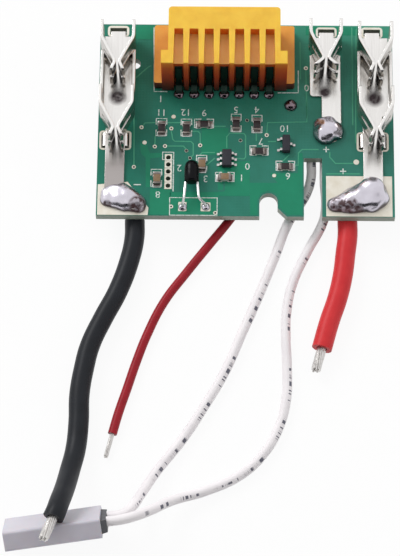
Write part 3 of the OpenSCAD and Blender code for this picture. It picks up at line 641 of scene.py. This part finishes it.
tracks = {
    "width": 0.2, "underWidth": 0.32,
    "upper": [
        [(-17.3, 15.9), (-16.72, 16.71), (-14.86, 16.78), (-10.71, 16.81)],
        [(-14.99, 14.39), (-15.05, 12.72)],
        [(-13.01, 12.52), (-10.31, 12.54), (-9.88, 12.02)],
        [(-12.35, 15.35), (-12.1, 13.77), (-11.76, 13.4), (-9.06, 13.38), (-8.68, 12.96), (-8.66, 10.92),
         (-9.02, 10.51)],
        [(-9, 15.22), (-7.9, 15.23), (-7.55, 14.83), (-7.53, 12.97)], [(-18.43, 9), (-18.64, 20.91)],
        [(-5.37, 16.18), (-3.33, 16.2)], [(-7.68, 10.84), (-7.18, 11.4), (-5.07, 11.41)],
        [(-6.48, 9.09), (-5.06, 10.4)],
        [(-3.14, 12.26), (-3.15, 14.3), (-2.65, 14.96), (-0.28, 14.88), (-0.02, 14.51), (-0.01, 10.62),
         (-0.26, 10.3), (-1.44, 10.33)],
        [(10.14, 21.14), (10.13, 17.11), (3.61, 16.93), (3.47, 14.91)], [(1.75, 14.9), (1.75, 13.6)],
        [(3.7, 13.47), (5.05, 13.48)], [(7.16, 11.05), (6.14, 9.93)],
        [(8.16, 9.21), (8.67, 9.21), (8.71, 11.43), (9.35, 12.08), (12.05, 12.1)],
        [(13.9, 11.66), (13.89, 10.73), (14.81, 9.6), (17.92, 9.62)], [(13.28, 7.69), (18.91, 7.73)],
        [(-18.42, 25.01), (-16.4, 27.01), (-15.9, 27.3)], [(10, 26.55), (10.15, 17.75)],
        [(9.02, 31.81), (9.09, 24.94)],
        [(17.75, 16.6), (17.75, 34.7)], [(18.2, 13.3), (18.5, 34.4)],
    ],
    "lower": [
        [(-17.3, 15.9), (-9.8, 11.69)], [(-9.19, 10.36), (-4, 17), (-4, 22)],
        [(-12.35, 15.72), (-6.5, 20), (-6.5, 22)],
        [(3.47, 14.63), (1, 17), (1, 22)], [(-0.87, 13.63), (-1.5, 17), (-1.5, 22)], [(10, 27), (6, 31)],
        [(4.72, 7.31), (4.72, 12), (7.44, 20.12)], [(-18.4, 27.1), (-11.1, 22)],
    ],
    "gapWidth": 0.55,
    "gaps": [  # bare strips between the copper areas
        [(-10.7, 9.8), (-10.98, 7.95), (-10.93, 4.47), (-3.58, 4.53), (-3.36, 8.2)],
    ],
}

vias = {
    # the radius of a plated hole's ring and of its hole, and of an open hole's
    "ring": 0.34, "hole": 0.17, "openRing": 0.289, "openHole": 0.255,
    "plated": [(-17.3, 15.9), (-12.35, 15.72), (-15.04, 12.41), (-13.35, 12.51), (-7.53, 12.69),
               (-18.43, 8.68), (-12.18, 1.63), (-4.92, 0.55), (3.47, 14.63), (10, 27)],
    "open": [(-9.8, 11.69), (-9.19, 10.36), (0.2, 17.31), (-0.87, 13.63)],
    # places and radii of round lands, each with a dome of tin that covers most of it
    "filled": [(-12.0, 17.87, 0.36), (-16.74, 13.12, 0.36), (4.72, 7.31, 0.33), (18.26, 9.84, 0.47)],
}


def makePours(name, outlines, low):
    bm = bmesh.new()
    for outline in outlines:
        sheetInto(bm, outline, low, low + layer["pour"])
    finishPiece(name, meshFrom(bm), [pourMask], smoothDeg=0)


def makeTracks():
    bm = bmesh.new()
    strokesInto(bm, tracks["upper"], tracks["width"], 0, layer["track"])
    strokesInto(bm, tracks["lower"], tracks["underWidth"], -boardThick - layer["track"], -boardThick)
    strokesInto(bm, tracks["gaps"], tracks["gapWidth"], 0, layer["gap"], material=1)
    finishPiece("tracks", meshFrom(bm), [trackMask, boardMask])


def makeVias():
    bm = bmesh.new()
    for places, r, inner in ((vias["plated"], vias["ring"], vias["hole"]),
                             (vias["open"], vias["openRing"], vias["openHole"])):
        for x, y in places:
            for face, out in ((0, 1), (-boardThick, -1)):
                rim = sorted((face, face + out * layer["pad"]))
                floor = sorted((face, face + out * layer["pour"]))
                sheetInto(bm, circle(x, y, r), *rim, circle(x, y, inner))
                # a dark disc over the hole: painted shade for its inside
                sheetInto(bm, circle(x, y, inner), *floor, material=1)
    for x, y, r in vias["filled"]:
        sheetInto(bm, circle(x, y, r, 24), 0, layer["pad"])
        sheetInto(bm, circle(x, y, r * 0.9, 24), layer["pad"], layer["dome"])
    finishPiece("vias", meshFrom(bm), [padTin, holeShadeAndDot])


padShapes = {
    "bMinus": [(-24.3, 0.08), (-16.0, 0.08), (-15.9, 1.4), (-19.4, 6.0), (-24.3, 5.5)],
    "bPlus": box(13.25, 0.1, 24.1, 7.3),
    "charge": circle(13.58, 15.57, 2.35, 40),
    # each slot's middle and half sizes, and how far its plated ring reaches beyond it
    "slots": [(-21.5, 33.67, 1.4, 0.62, 0.4), (21.1, 33.67, 1.4, 0.62, 0.4), (13.45, 33.67, 1.4, 0.62, 0.35),
              (-23.5, 13.5, 0.4, 1.4, 0.35), (-19.7, 13.5, 0.4, 1.4, 0.35), (19.1, 13.5, 0.4, 1.4, 0.35),
              (22.9, 13.5, 0.4, 1.4, 0.35)],
    "slotCorner": 0.6, "slotHoleCorner": 0.05, "thermistorCorner": 0.15,
    "balance": (7.44, 20.12, 1.05),
    "thermistor": [(-11.02, 0.83, -9.65, 2.46), (-7.33, 0.83, -5.73, 2.4)],
    "programming": [(-12.75, 10.45 - 1.27 * i) for i in range(5)],
    "programmingHalf": 0.6, "programmingHole": 0.4,
    "contacts": [(-3.65 + 2.5 * (i - 3), 22.05) for i in range(7)], "contactRadius": 0.9,
}


def makePads():
    bm = bmesh.new()
    high = layer["pad"]
    under = -boardThick
    for key in ("bMinus", "bPlus", "charge"):
        sheetInto(bm, padShapes[key], 0, high)
    for x, y, halfX, halfY, reach in padShapes["slots"]:
        outX, outY = halfX + reach, halfY + reach
        for low in (0, under - high):
            sheetInto(bm, roundBox(x - outX, y - outY, x + outX, y + outY, padShapes["slotCorner"]), low,
                      low + high, roundBox(x - halfX, y - halfY, x + halfX, y + halfY,
                                           padShapes["slotHoleCorner"]))
    for corners in padShapes["thermistor"]:
        sheetInto(bm, roundBox(*corners, padShapes["thermistorCorner"]), 0, high)
    for x, y in padShapes["programming"]:
        for low in (0, under - high):
            sheetInto(bm, square(x, y, padShapes["programmingHalf"]), low, low + high,
                      circle(x, y, padShapes["programmingHole"]))
    sheetInto(bm, circle(*padShapes["balance"], 32), 0, high)
    for x, y in padShapes["contacts"]:
        sheetInto(bm, circle(x, y, padShapes["contactRadius"], 24), under - high, under)
    finishPiece("pads", meshFrom(bm), [padTin])


printShapes = {
    "width": 0.19,
    # two corners of each chip's frame, which is open in the middle of its long sides
    "frames": [
        (-14.87, 14.41, -13.13, 17.51), (-10.72, 14.39, -8.99, 17.45), (-8.51, 15.92, -5.36, 17.47),
        (-2.42, 15.21, -0.79, 18.41), (1.03, 15.09, 2.68, 18.25), (0.71, 11.02, 3.75, 12.66),
        (5.02, 8.29, 8.08, 9.92), (-8.1, 7.99, -6.42, 10.87), (-15.56, 5.17, -13.82, 8.28),
        (-4.95, 6.19, -1.88, 7.82)],
    "halfGap": 0.45,
    "closed": [box(-12.42, 0.1, -4.63, 3.23), box(-13.72, 10.05, -11.88, 11.4)],
    # lone lines, and the plus and minus signs
    "open": [
        [(-11.9, 10.05), (-11.9, 4.31)], [(-15.54, 34.47), (-15.33, 22.48), (-13.09, 22.5)],
        [(5.29, 22.4), (8.72, 22.43), (8.73, 26.54)], [(-18.4, 5.5), (-17.2, 5.5)],
        [(12.8, 12.1), (13.8, 12.1)], [(13.3, 11.6), (13.3, 12.6)], [(15.56, 8.17), (16.56, 8.17)],
        [(16.06, 7.67), (16.06, 8.67)]],
    "figureSize": 1.7,
    "figures": [
        ("11", -14.05, 18.69), ("12", -9.97, 18.73), ("9", -6.92, 18.66), ("5", -1.66, 19.26),
        ("4", 1.82, 19.29), ("7", 2.51, 13.55), ("10", 6.48, 15.9), ("6", 6.98, 7.27), ("2", -10.95, 8.6),
        ("3", -6.6, 6.7), ("1", -0.66, 6.93), ("8", -14.39, 3.8), ("0", 0.3, 9.0), ("1", -14.2, 21.2),
        ("0", 10.1, 23.4)],
}


def makePrint():
    bm = bmesh.new()
    lines = list(printShapes["open"])
    gap = printShapes["halfGap"]
    for left, front, right, back in printShapes["frames"]:
        x, y = (left + right) / 2, (front + back) / 2
        if back - front > right - left:
            lines += [[(left, y - gap), (left, front), (right, front), (right, y - gap)],
                      [(left, y + gap), (left, back), (right, back), (right, y + gap)]]
        else:
            lines += [[(x - gap, front), (left, front), (left, back), (x - gap, back)],
                      [(x + gap, front), (right, front), (right, back), (x + gap, back)]]
    low, high = layer["pour"], layer["print"]
    strokesInto(bm, lines, printShapes["width"], low, high)
    strokesInto(bm, printShapes["closed"], printShapes["width"], low, high, closed=True)
    for text, x, y in printShapes["figures"]:
        figuresInto(bm, text, x, y, printShapes["figureSize"], low, high)
    finishPiece("print", meshFrom(bm), [ink])


makePours("copperPours", pours["upper"], 0)
makePours("underCopperPours", pours["lower"], -boardThick - layer["pour"])
makeTracks()
makeVias()
makePads()
makePrint()
print("board dressed")


# ---- terminals

terminalMarks = {
    # the minus stem is dulled from the first to the second of these, leftwards and towards the front
    "dullLeft": (-10, -18), "dullFront": (12.5, 9),
    # each is a distance left or right of the board's middle, a distance from its front edge, and a reach
    # spots of painted dark reflection and shadow of the arms on the plates
    "reflectionSpots": [(21.4, 21.2, 1.7), (13.1, 22.3, 1.3)],
    # spots of painted shade and dark reflection where the fingers pinch and at the legs
    "pinches": [(21.35, 24.4, 1.0), (21.35, 12.5, 1.0), (13.2, 25.3, 1.2), (19.4, 13.5, 1.1),
                (23.2, 13.5, 1.1)],
}


# Copper alloy strip, tin plated and folded: mirror bright where it lies flat, painted darker on upright faces
# as a painted dark reflection, with painted shade where the fingers pinch and at the legs, and a painted dark
# reflection and shadow of the arms on the plates
def terminalMaterial():
    material, add, shader, place = newMaterial("folded tin plated strip", Metallic=1.0)
    # rolling marks run with the strip; drawn 0.25 mm apart so that they show
    stretched = add("Mapping", {"Vector": place, "Scale": (4.0, 0.15, 0.6)})
    streaks = add("TexNoise", {"Vector": stretched, "Scale": 1.0, "Detail": 3.0})
    flat = add("Mix", {0: streaks, 6: "#e2dfdc", 7: "#f3f1ef"}, data_type="RGBA")
    # the minus terminal's stem is dulled
    at = add("SeparateXYZ", {0: place})
    start, full = zip(terminalMarks["dullLeft"], terminalMarks["dullFront"])
    left, front = [add("MapRange", {"Value": at.outputs[axis], "From Min": start[i], "From Max": full[i]})
                   for i, axis in enumerate("XY")]
    dulled = add("Math", {0: left, 1: front}, operation="MULTIPLY")
    flat = add("Mix", {0: dulled, 6: flat, 7: "#aca6a4"}, data_type="RGBA")
    # painted dark reflection and shadow of the arms, in patches on the plates: the same spots serve both
    # power terminals, which stand as far left as right of the middle
    side = add("Math", {0: at.outputs["X"]}, operation="ABSOLUTE")
    folded = add("CombineXYZ", {0: side, 1: at.outputs["Y"]})
    paintedReflection = nearSpots(add, folded, terminalMarks["reflectionSpots"], 0.45)
    reflectionBlotches = add("TexNoise", {"Vector": place, "Scale": 1.3, "Detail": 3.0})
    patchy = add("ValToRGB", {0: reflectionBlotches}, [(0.3, 0.75), (0.5, 1.0)])
    paintedReflectionPatches = add("Math", {0: paintedReflection, 1: patchy}, operation="MULTIPLY")
    flat = add("Mix", {0: paintedReflectionPatches, 6: flat, 7: "#463d40"}, data_type="RGBA")
    # upright faces are painted darker than flat ones, a painted dark reflection, with fine lines along the
    # strip, drawn 0.6 mm apart, and painted shade near black where the fingers pinch and at the legs
    across = add("Mapping", {"Vector": place, "Scale": (0.2, 0.2, 1.6)})
    lines = add("TexNoise", {"Vector": across, "Scale": 1.0, "Detail": 3.0})
    wall = add("ValToRGB", {0: lines}, [(0.36, "#918c85"), (0.5, "#c2bdb6"), (0.62, "#aca7a0")])
    fingers = nearSpots(add, folded, terminalMarks["pinches"], 0.8)
    wall = add("Mix", {0: fingers, 6: wall, 7: "#1e1918"}, data_type="RGBA")
    # flat faces take the bright colour and upright faces the painted darker one: lit and shaded copies of the
    # same tin
    level = add("ValToRGB", {0: facing(add)["Z"]}, [(0.6, 0.0), (0.9, 1.0)])
    colour = add("Mix", {0: level, 6: wall, 7: flat}, data_type="RGBA")
    roughness = add("MapRange", {"Value": streaks, "To Min": 0.16, "To Max": 0.32})
    # the strip's sheared edges are rounded a little, drawn 0.2 mm wide so that they show
    rounded = add("Bevel", {"Radius": 0.2 * mm})
    bump = add("Bump", {"Height": streaks, "Strength": 0.15, "Distance": 0.02 * mm, "Normal": rounded})
    setInputs(shader, {"Base Color": colour, "Roughness": roughness, "Normal": bump})
    return material


paint(terminalMaterial(), "b_minus_terminal", "b_plus_terminal", "charge_terminal")
# Phosphor bronze contacts, dull plated: dark green grey, lighter where they rub
contactMetal = mottledMaterial("dull plated bronze contact", "#10211c", "#35463f",
                               tone={"Scale": 1.6, "Detail": 3.0}, Roughness=0.42, Metallic=0.9)
paint(contactMetal, *[f"signal_contact_{i}" for i in range(1, 8)])


# ---- connector

# how high the shoulder stands over the board, and how far behind the front edge the slots' back walls begin
housingMarks = {"shoulder": 10.5, "slots": 23.6}


# Amber nylon, injection moulded: a satin glow, deeper orange in the slots, and painted shade by height and
# facing that runs darker red brown down the front and darker low down on the sides and wings, together with
# the redder tone of thick nylon
def amberMaterial():
    material, add, shader, place = newMaterial(
        "amber moulded nylon", Roughness=0.36, IOR=1.53, Specular_IOR_Level=0.3, Subsurface_Weight=0.35,
        Subsurface_Scale=0.8 * mm, Subsurface_Radius=(1.0, 0.5, 0.12))
    at = add("SeparateXYZ", {0: place})
    way = facing(add)
    height = add("MapRange", {"Value": at.outputs["Z"], "From Max": housingMarks["shoulder"]})
    # faces that face the front: painted shade from dark red brown at the foot to amber at the shoulder, for
    # faces turned from the lamp, with the redder tone of thick nylon
    front = add("ValToRGB", {0: height}, [(0.0, "#3a1812"), (0.2, "#822c1a"), (0.5, "#b84019"),
                                          (0.8, "#cc5a1c"), (0.93, "#dc7c28"), (1.0, "#f4b840")])
    # other upright faces: painted shade, darker towards the foot
    side = add("ValToRGB", {0: height}, [(0.0, "#b86a22"), (0.5, "#e39a32"), (1.0, "#f4b840")])
    toFront = add("Math", {0: way["Y"], 1: -0.5}, operation="LESS_THAN")
    # walls at the back of the slots face the front and are deep red orange
    inSlot = add("Math", {0: at.outputs["Y"], 1: housingMarks["slots"]}, operation="GREATER_THAN")
    wall = add("Mix", {0: inSlot, 6: front, 7: "#ff9a40"}, data_type="RGBA")
    upright = add("Mix", {0: toFront, 6: side, 7: wall}, data_type="RGBA")
    # level faces: painted shade darkens the low wings beside the block; the slot floors are lighter and the
    # top yellow
    level = add("ValToRGB", {0: height}, [(0.0, "#e6a244"), (0.25, "#eea94a"), (0.8, "#ffd282"),
                                          (0.83, "#ffd282"), (0.9, "#f4c647"), (1.0, "#f6c947")])
    isLevel = add("Math", {0: way["Z"], 1: 0.5}, operation="GREATER_THAN")
    base = add("Mix", {0: isLevel, 6: upright, 7: level}, data_type="RGBA")
    cloud = add("TexNoise", {"Vector": place, "Scale": 0.5, "Detail": 4.0})
    shade = add("ValToRGB", {0: cloud}, [(0.3, "#f6eee2"), (0.65, "#ffffff")])
    colour = add("Mix", {0: 1.0, 6: base, 7: shade}, data_type="RGBA", blend_type="MULTIPLY")
    grain = add("TexNoise", {"Vector": place, "Scale": 6.0})
    bump = add("Bump", {"Height": grain, "Strength": 0.25, "Distance": 0.02 * mm})
    setInputs(shader, {"Base Color": colour, "Normal": bump})
    return material


paint(amberMaterial(), "connector_housing")


# ---- solder

# Tin solder, set in the air: lavender grey and nearly mirror smooth, with brown flux at its rim and a painted
# dark reflection on its steeply sloping sides
def solderMaterial(name, dark, light, flux, rimHigh, roughness, fluxMetal, spots=()):
    material, add, shader, place = newMaterial(name, Metallic=1.0)
    flow = add("TexNoise", {"Vector": place, "Scale": 0.5, "Detail": 4.0, "Distortion": 0.6})
    body = add("Mix", {0: flow, 6: dark, 7: light}, data_type="RGBA")
    height = add("SeparateXYZ", {0: place}).outputs["Z"]
    fluxed = add("MapRange", {"Value": height, "From Min": rimHigh, "From Max": 0.02})
    onTop = add("VectorMath", {0: place, 1: (1, 1, 0)}, operation="MULTIPLY")
    fluxed = nearSpots(add, onTop, spots, 0.7, fluxed)
    speckle = add("TexNoise", {"Vector": place, "Scale": 1.5, "Detail": 3.0})
    patchy = add("ValToRGB", {0: speckle}, [(0.38, 0.35), (0.55, 1.0)])
    fluxed = add("Math", {0: fluxed, 1: patchy}, operation="MULTIPLY")
    # steeply sloping sides are painted dark grey, a painted reflection of the dark board and parts around
    # them
    paintedSideReflection = add("MapRange", {"Value": facing(add)["Z"], "From Min": 0.55, "From Max": 0.25, "To Max": 0.8})
    body = add("Mix", {0: paintedSideReflection, 6: body, 7: "#45404c"}, data_type="RGBA")
    colour = add("Mix", {0: fluxed, 6: body, 7: flux}, data_type="RGBA")
    # flux is a satin resin, not metal
    metal = add("MapRange", {"Value": fluxed, "To Min": 1.0, "To Max": fluxMetal})
    satin = add("MapRange", {"Value": fluxed, "To Min": roughness, "To Max": 0.45})
    ripple = add("TexNoise", {"Vector": place, "Scale": 1.2, "Detail": 3.0})
    bump = add("Bump", {"Height": ripple, "Strength": 0.2, "Distance": 0.06 * mm})
    setInputs(shader, {"Base Color": colour, "Metallic": metal, "Roughness": satin, "Normal": bump})
    return material


# the spots are flux burnt on top: x, y and reach
brightSolder = solderMaterial(
    "bright set solder", "#bfbac4", "#dfdce6", "#4a3336", 0.22, 0.27, 0.15,
    spots=[(-17.6, 1.4, 1.7), (-22.7, 1.5, 0.9), (17.0, 1.4, 1.6), (15.0, 1.6, 1.5), (18.4, 0.5, 1.2)])
darkSolder = solderMaterial("fluxed set solder", "#57464c", "#9a8c94", "#241416", 0.3, 0.2, 0.6)

solderJoints = {
    # the step of the even mesh, the rounds of smoothing, and the height and the size of the lumps
    "b_minus_solder": (0.14, 4, 0.22, 1.6),
    "b_plus_solder": (0.14, 4, 0.25, 1.5),
    "charge_solder": (0.12, 4, 0.18, 1.3),
    "balance_solder": (0.09, 4, 0.08, 0.9),
    "thermistor_solder": (0.07, 3, 0.08, 0.5),
    "signal_solder": (0.08, 3, 0.1, 0.8),
    "white_lead_solder": (0.1, 3, 0.08, 0.8),
    "tab_solder": (0.1, 3, 0.08, 0.8),
}
for node, surface in solderJoints.items():
    dark = node in ("balance_solder", "signal_solder")
    mesh = meshFrom(softened(mergedCopy(node), *surface), False)
    finishPiece(pieceName(node), mesh, [darkSolder if dark else brightSolder],
                [node], 60)


# ---- chip parts

# Thick film resistor: black glass glaze over white alumina, with faint wear
glaze = mottledMaterial("black resistor glaze", "#181315", "#3a2f31", tone={"Scale": 2.2, "Detail": 3.0},
                        Roughness=0.3, IOR=1.52, Specular_IOR_Level=0.3)


# Fired ceramic, alumina or barium titanate: dull and even, with a fine speckle
def ceramicMaterial(name, dark, light):
    return mottledMaterial(name, dark, light, tone={"Scale": 4.0, "Detail": 4.0}, Roughness=0.45, IOR=1.6)


# Tin ends and fillets of small parts: uneven, bright where clean and brown grey under flux
def endMaterial(name, dark, light):
    return mottledMaterial(name, dark, light, tone={"Scale": 2.0, "Detail": 3.0}, relief=(0.5, 0.04),
                           Roughness=0.35, Metallic=0.9)


alumina = ceramicMaterial("white alumina", "#cfc9c0", "#e6e2da")
tanCeramic = ceramicMaterial("tan fired ceramic", "#6d5238", "#97784f")
tinEnd = endMaterial("reflowed tin", "#8d8784", "#f0eeee")
fluxedEnd = endMaterial("fluxed tin", "#3d3734", "#a39b96")

chips = {
    "length": 2.0, "width": 1.25, "end": 0.36,
    "top": 0.12,  # the dark glaze, or the upper skin of a capacitor
    "topInset": 0.1,  # how much narrower than the ends it is
    "under": (0.06, 0.08, 0.1),  # how much shorter, narrower and lower than the chip the white underbody is
    # each fillet starts a little in from the chip's end, and its middle is a little above the pad
    "fillet": 0.32, "filletHigh": 0.26, "filletIn": 0.06, "filletUp": 0.1,
    "pad": 0.9, "padIn": 0.04,  # how far the pad's middle lies in from the chip's end
    "padSpare": 0.12,
    # the middle of each on the board, and 90 where it stands along the board's depth
    "resistors": [(-13.95, 15.7, 90), (-9.85, 15.65, 90), (-6.9, 16.45, 0), (-1.6, 16.55, 90),
                  (1.85, 16.4, 90), (2.25, 11.6, 0), (6.55, 8.85, 0)],
    "capacitors": [(-3.4, 6.8, 0), (-7.2, 9.1, 90), (-14.6, 6.45, 90)],
}
chipKinds = {
    "resistor": {"high": 0.5, "body": glaze, "slot": "chip_resistor", "places": chips["resistors"]},
    "capacitor": {"high": 0.8, "body": tanCeramic, "slot": "chip_capacitor", "places": chips["capacitors"]},
}


def makeChip(node, at, kind):
    # material 0 is the body, 1 the white underbody, 2 clean tin and 3 fluxed tin
    x, y, turn = at
    c, s = math.cos(math.radians(turn)), math.sin(math.radians(turn))
    long, wide, end, high, base = chips["length"], chips["width"], chips["end"], kind["high"], layer["pad"]
    shorter, narrower, lower = chips["under"]
    inner = wide - chips["topInset"]
    foot = long / 2 + chips["fillet"] / 2 - chips["filletIn"]
    pad = long / 2 - chips["padIn"]
    # a distance out from the chip's middle, a height, a size, a bevel and a material
    blocks = [(0, (base + high - lower) / 2, (long - shorter, wide - narrower, high - lower - base), 0.02, 1),
              (0, high - chips["top"] / 2, (long - 2 * end, inner, chips["top"]), 0.03, 0)]
    for side in (-1, 1):
        blocks += [(side * (long - end) / 2, (base + high) / 2, (end, wide, high - base), 0.05, 3),
                   (side * foot, base + chips["filletUp"], (chips["fillet"], inner, chips["filletHigh"]),
                    0.11, 3),
                   (side * pad, base / 2, (chips["pad"], wide + chips["padSpare"], base), 0.01, 2)]
    bm = bmesh.new()
    for out, z, size, bevel, material in blocks:
        blockInto(bm, onBoard(x + c * out, y + s * out, z), size, turn, bevel, material)
    finishPiece(pieceName(node), meshFrom(bm), [kind["body"], alumina, tinEnd, fluxedEnd],
                [node], 40)


for word, kind in chipKinds.items():
    for i, at in enumerate(kind["places"], 1):
        makeChip(f"{word}_{i}", at, kind)


# Epoxy moulding compound: matt dark grey with a fine sparkle of filler
packageEpoxy = mottledMaterial("moulded epoxy compound", "#232329", "#3b3b44",
                               tone={"Scale": 9.0, "Detail": 3.0}, relief=(0.4, 0.02), Roughness=0.6,
                               IOR=1.55, Specular_IOR_Level=0.25)
packages = {
    "monitorChip": {"node": "monitor_chip", "leads": "monitor_chip_leads", "dot": (-3.55, 11.2)},
    "transistorBody": {"node": "transistor", "leads": "transistor_leads", "dot": None},
    "edge": 0.05, "dotRadius": 0.16, "dotRise": 0.004,
}


def makePackage(name, shape):
    bm = mergedCopy(shape["node"])
    bmesh.ops.dissolve_limit(bm, angle_limit=math.radians(1), verts=bm.verts, edges=bm.edges)
    bmesh.ops.bevel(bm, geom=bm.edges[:], offset=packages["edge"] * mm, affect="EDGES", segments=2,
                    profile=0.5, material=-1)
    if shape["dot"]:
        middle = onBoard(*shape["dot"])
        middle.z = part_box(shape["node"])[1].z + packages["dotRise"] * mm
        ring = bmesh.ops.create_circle(bm, cap_ends=True, segments=20, radius=packages["dotRadius"] * mm,
                                       matrix=Matrix.Translation(middle))
        for f in {f for v in ring["verts"] for f in v.link_faces}:
            f.material_index = 1
    finishPiece(name, meshFrom(bm), [packageEpoxy, holeShadeAndDot], [shape["node"]], 30)
    paint(tinEnd, shape["leads"])


for name in ("monitorChip", "transistorBody"):
    makePackage(name, packages[name])


# ---- thermistor

bead = {
    "node": "thermistor_bead", "x": -8.85, "y": 7.1, "z": 2.0,
    # each is a distance behind the bead's middle, and the radius there, from its back tip to its leads
    "profile": [(1.95, 0.0), (1.9, 0.32), (1.72, 0.7), (1.35, 1.02), (0.8, 1.17), (0.1, 1.2), (-0.8, 1.2),
                (-1.6, 1.18), (-1.85, 1.12), (-1.93, 0.95), (-1.95, 0.0)],
}


def makeBead(material):
    bm = bmesh.new()
    centre = onBoard(bead["x"], bead["y"], bead["z"])
    verts = [bm.verts.new(centre + Vector((r * mm, a * mm, 0))) for a, r in bead["profile"]]
    edges = [bm.edges.new(pair) for pair in zip(verts, verts[1:])]
    bmesh.ops.spin(bm, geom=verts + edges, cent=centre, axis=(0, 1, 0), angle=math.tau, steps=32,
                   use_merge=True)
    bmesh.ops.remove_doubles(bm, verts=bm.verts, dist=1e-6)
    finishPiece("thermistorBead", meshFrom(bm), [material], [bead["node"]], 80)


# Dipped epoxy: glossy black drop
makeBead(mottledMaterial("dipped black epoxy", "#060608", "#101014", tone={"Scale": 1.2}, relief=(0.3, 0.1),
                         Roughness=0.25, IOR=1.55, Specular_IOR_Level=0.1))
# Copper wire, tin plated and drawn: bright white metal with long draw marks
drawnWire = mottledMaterial("drawn tinned wire", "#cbc8cb", "#ffffff", tone={"Scale": 1.0},
                            stretch=(5.0, 0.4, 5.0), Roughness=0.3, Metallic=0.85)
paint(drawnWire, "thermistor_lead_left", "thermistor_lead_right")


# ---- thermal switch

# Polyester, injection moulded: satin white with a cool shade and a soft moulded grain
polyester = mottledMaterial("white moulded polyester", "#c2bdc8", "#d6d3db",
                            tone={"Scale": 0.25, "Detail": 3.0}, grain={"Scale": 5.0}, relief=(0.3, 0.02),
                            Roughness=0.4, IOR=1.57, Specular_IOR_Level=0.35, Subsurface_Weight=0.15,
                            Subsurface_Scale=0.5 * mm)
# Epoxy potting, poured and cured: dull dark grey with a wavy skin
potting = mottledMaterial("poured epoxy potting", "#3a3b3f", "#66676b", tone={"Scale": 0.9, "Detail": 4.0},
                          relief=(0.6, 0.1), Roughness=0.5, IOR=1.55, Specular_IOR_Level=0.3)
paint(polyester, "thermal_switch_case")
paint(potting, "thermal_switch_potting")
print("parts on the board and the switch dressed")


# ---- room

room = {
    "worldStrength": 0.92, "keyWatts": 3.7, "keySize": 0.45, "keyPlace": (-0.55, 0.55, 0.62), "floorSize": 4,
    "floorGlow": 0.92, "flagSize": (1.6, 1.1), "flagPlace": (0, -0.8, 0.6),
}


def seenDirectly(add):
    # 1 for the camera's own rays and for those that metal and glass send on
    ray = add("LightPath")
    seen = add("Math", {0: ray.outputs["Is Camera Ray"], 1: ray.outputs["Is Glossy Ray"]},
               operation="MAXIMUM")
    return add("Math", {0: seen, 1: ray.outputs["Is Transmission Ray"]}, operation="MAXIMUM")


def dullMaterial(name, dark, light, spread, glow):
    # a matt surface with a fine noise of two tones, which glows by this much where it is seen directly
    material = bpy.data.materials.new(name)
    add = startTree(material)
    spot = add("TexCoord").outputs["Object"]
    weave = add("TexNoise", {"Vector": spot, "Scale": spread})
    tone = add("Mix", {0: weave, 6: dark, 7: light}, data_type="RGBA")
    surface = add("BsdfDiffuse", {"Color": tone})
    if glow:
        white = add("Emission", {"Color": "#ffffff", "Strength": 1.0})
        share = add("Math", {0: seenDirectly(add), 1: glow}, operation="MULTIPLY")
        surface = add("MixShader", {0: share, 1: surface, 2: white})
    add("OutputMaterial", {"Surface": surface})
    return material


def stagePlane(name, place, material):
    bm = bmesh.new()
    bmesh.ops.create_grid(bm, x_segments=1, y_segments=1, size=0.5, matrix=place)
    mesh = meshFrom(bm, False)
    mesh.materials.append(material)
    obj = bpy.data.objects.new(name, mesh)
    scene.collection.objects.link(obj)
    return obj


def makeRoom():
    world = bpy.data.worlds.new("studio")
    scene.world = world
    add = startTree(world)
    strength = add("MapRange", {"Value": seenDirectly(add), "To Min": room["worldStrength"], "To Max": 1.0})
    sky = add("Background", {"Color": "#ffffff", "Strength": strength})
    add("OutputWorld", {"Surface": sky})

    lamp = bpy.data.lights.new("key", "AREA")
    lamp.shape = "DISK"
    lamp.size = room["keySize"]
    lamp.energy = room["keyWatts"]
    key = bpy.data.objects.new("key", lamp)
    key.location = room["keyPlace"]
    key.rotation_mode = "QUATERNION"
    key.rotation_quaternion = (-Vector(room["keyPlace"])).to_track_quat("-Z", "Y")
    scene.collection.objects.link(key)

    # Black cloth, woven cotton: a flag at the camera's side, which gives bright metal its dark reflections
    cloth = dullMaterial("black woven cotton flag", "#141416", "#242428", 400.0, 0)
    turn = (-Vector(room["flagPlace"])).to_track_quat("Z", "Y").to_matrix().to_4x4()
    flag = stagePlane("flag", Matrix.Translation(room["flagPlace"]) @ turn
                      @ Matrix.Diagonal((*room["flagSize"], 1, 1)), cloth)
    flag.visible_camera = False

    # Painted board, matt white: it keeps a faint shadow and fades into the background
    paintedBoard = dullMaterial("matt white painted board", "#f4f4f4", "#ffffff", 300.0, room["floorGlow"])
    level = Matrix.Translation((0, 0, cadLow.z))
    stagePlane("floor", level @ Matrix.Scale(room["floorSize"], 4), paintedBoard)


makeRoom()
scene.view_settings.view_transform = "Standard"
print("room lit")

bpy.context.view_layer.update()
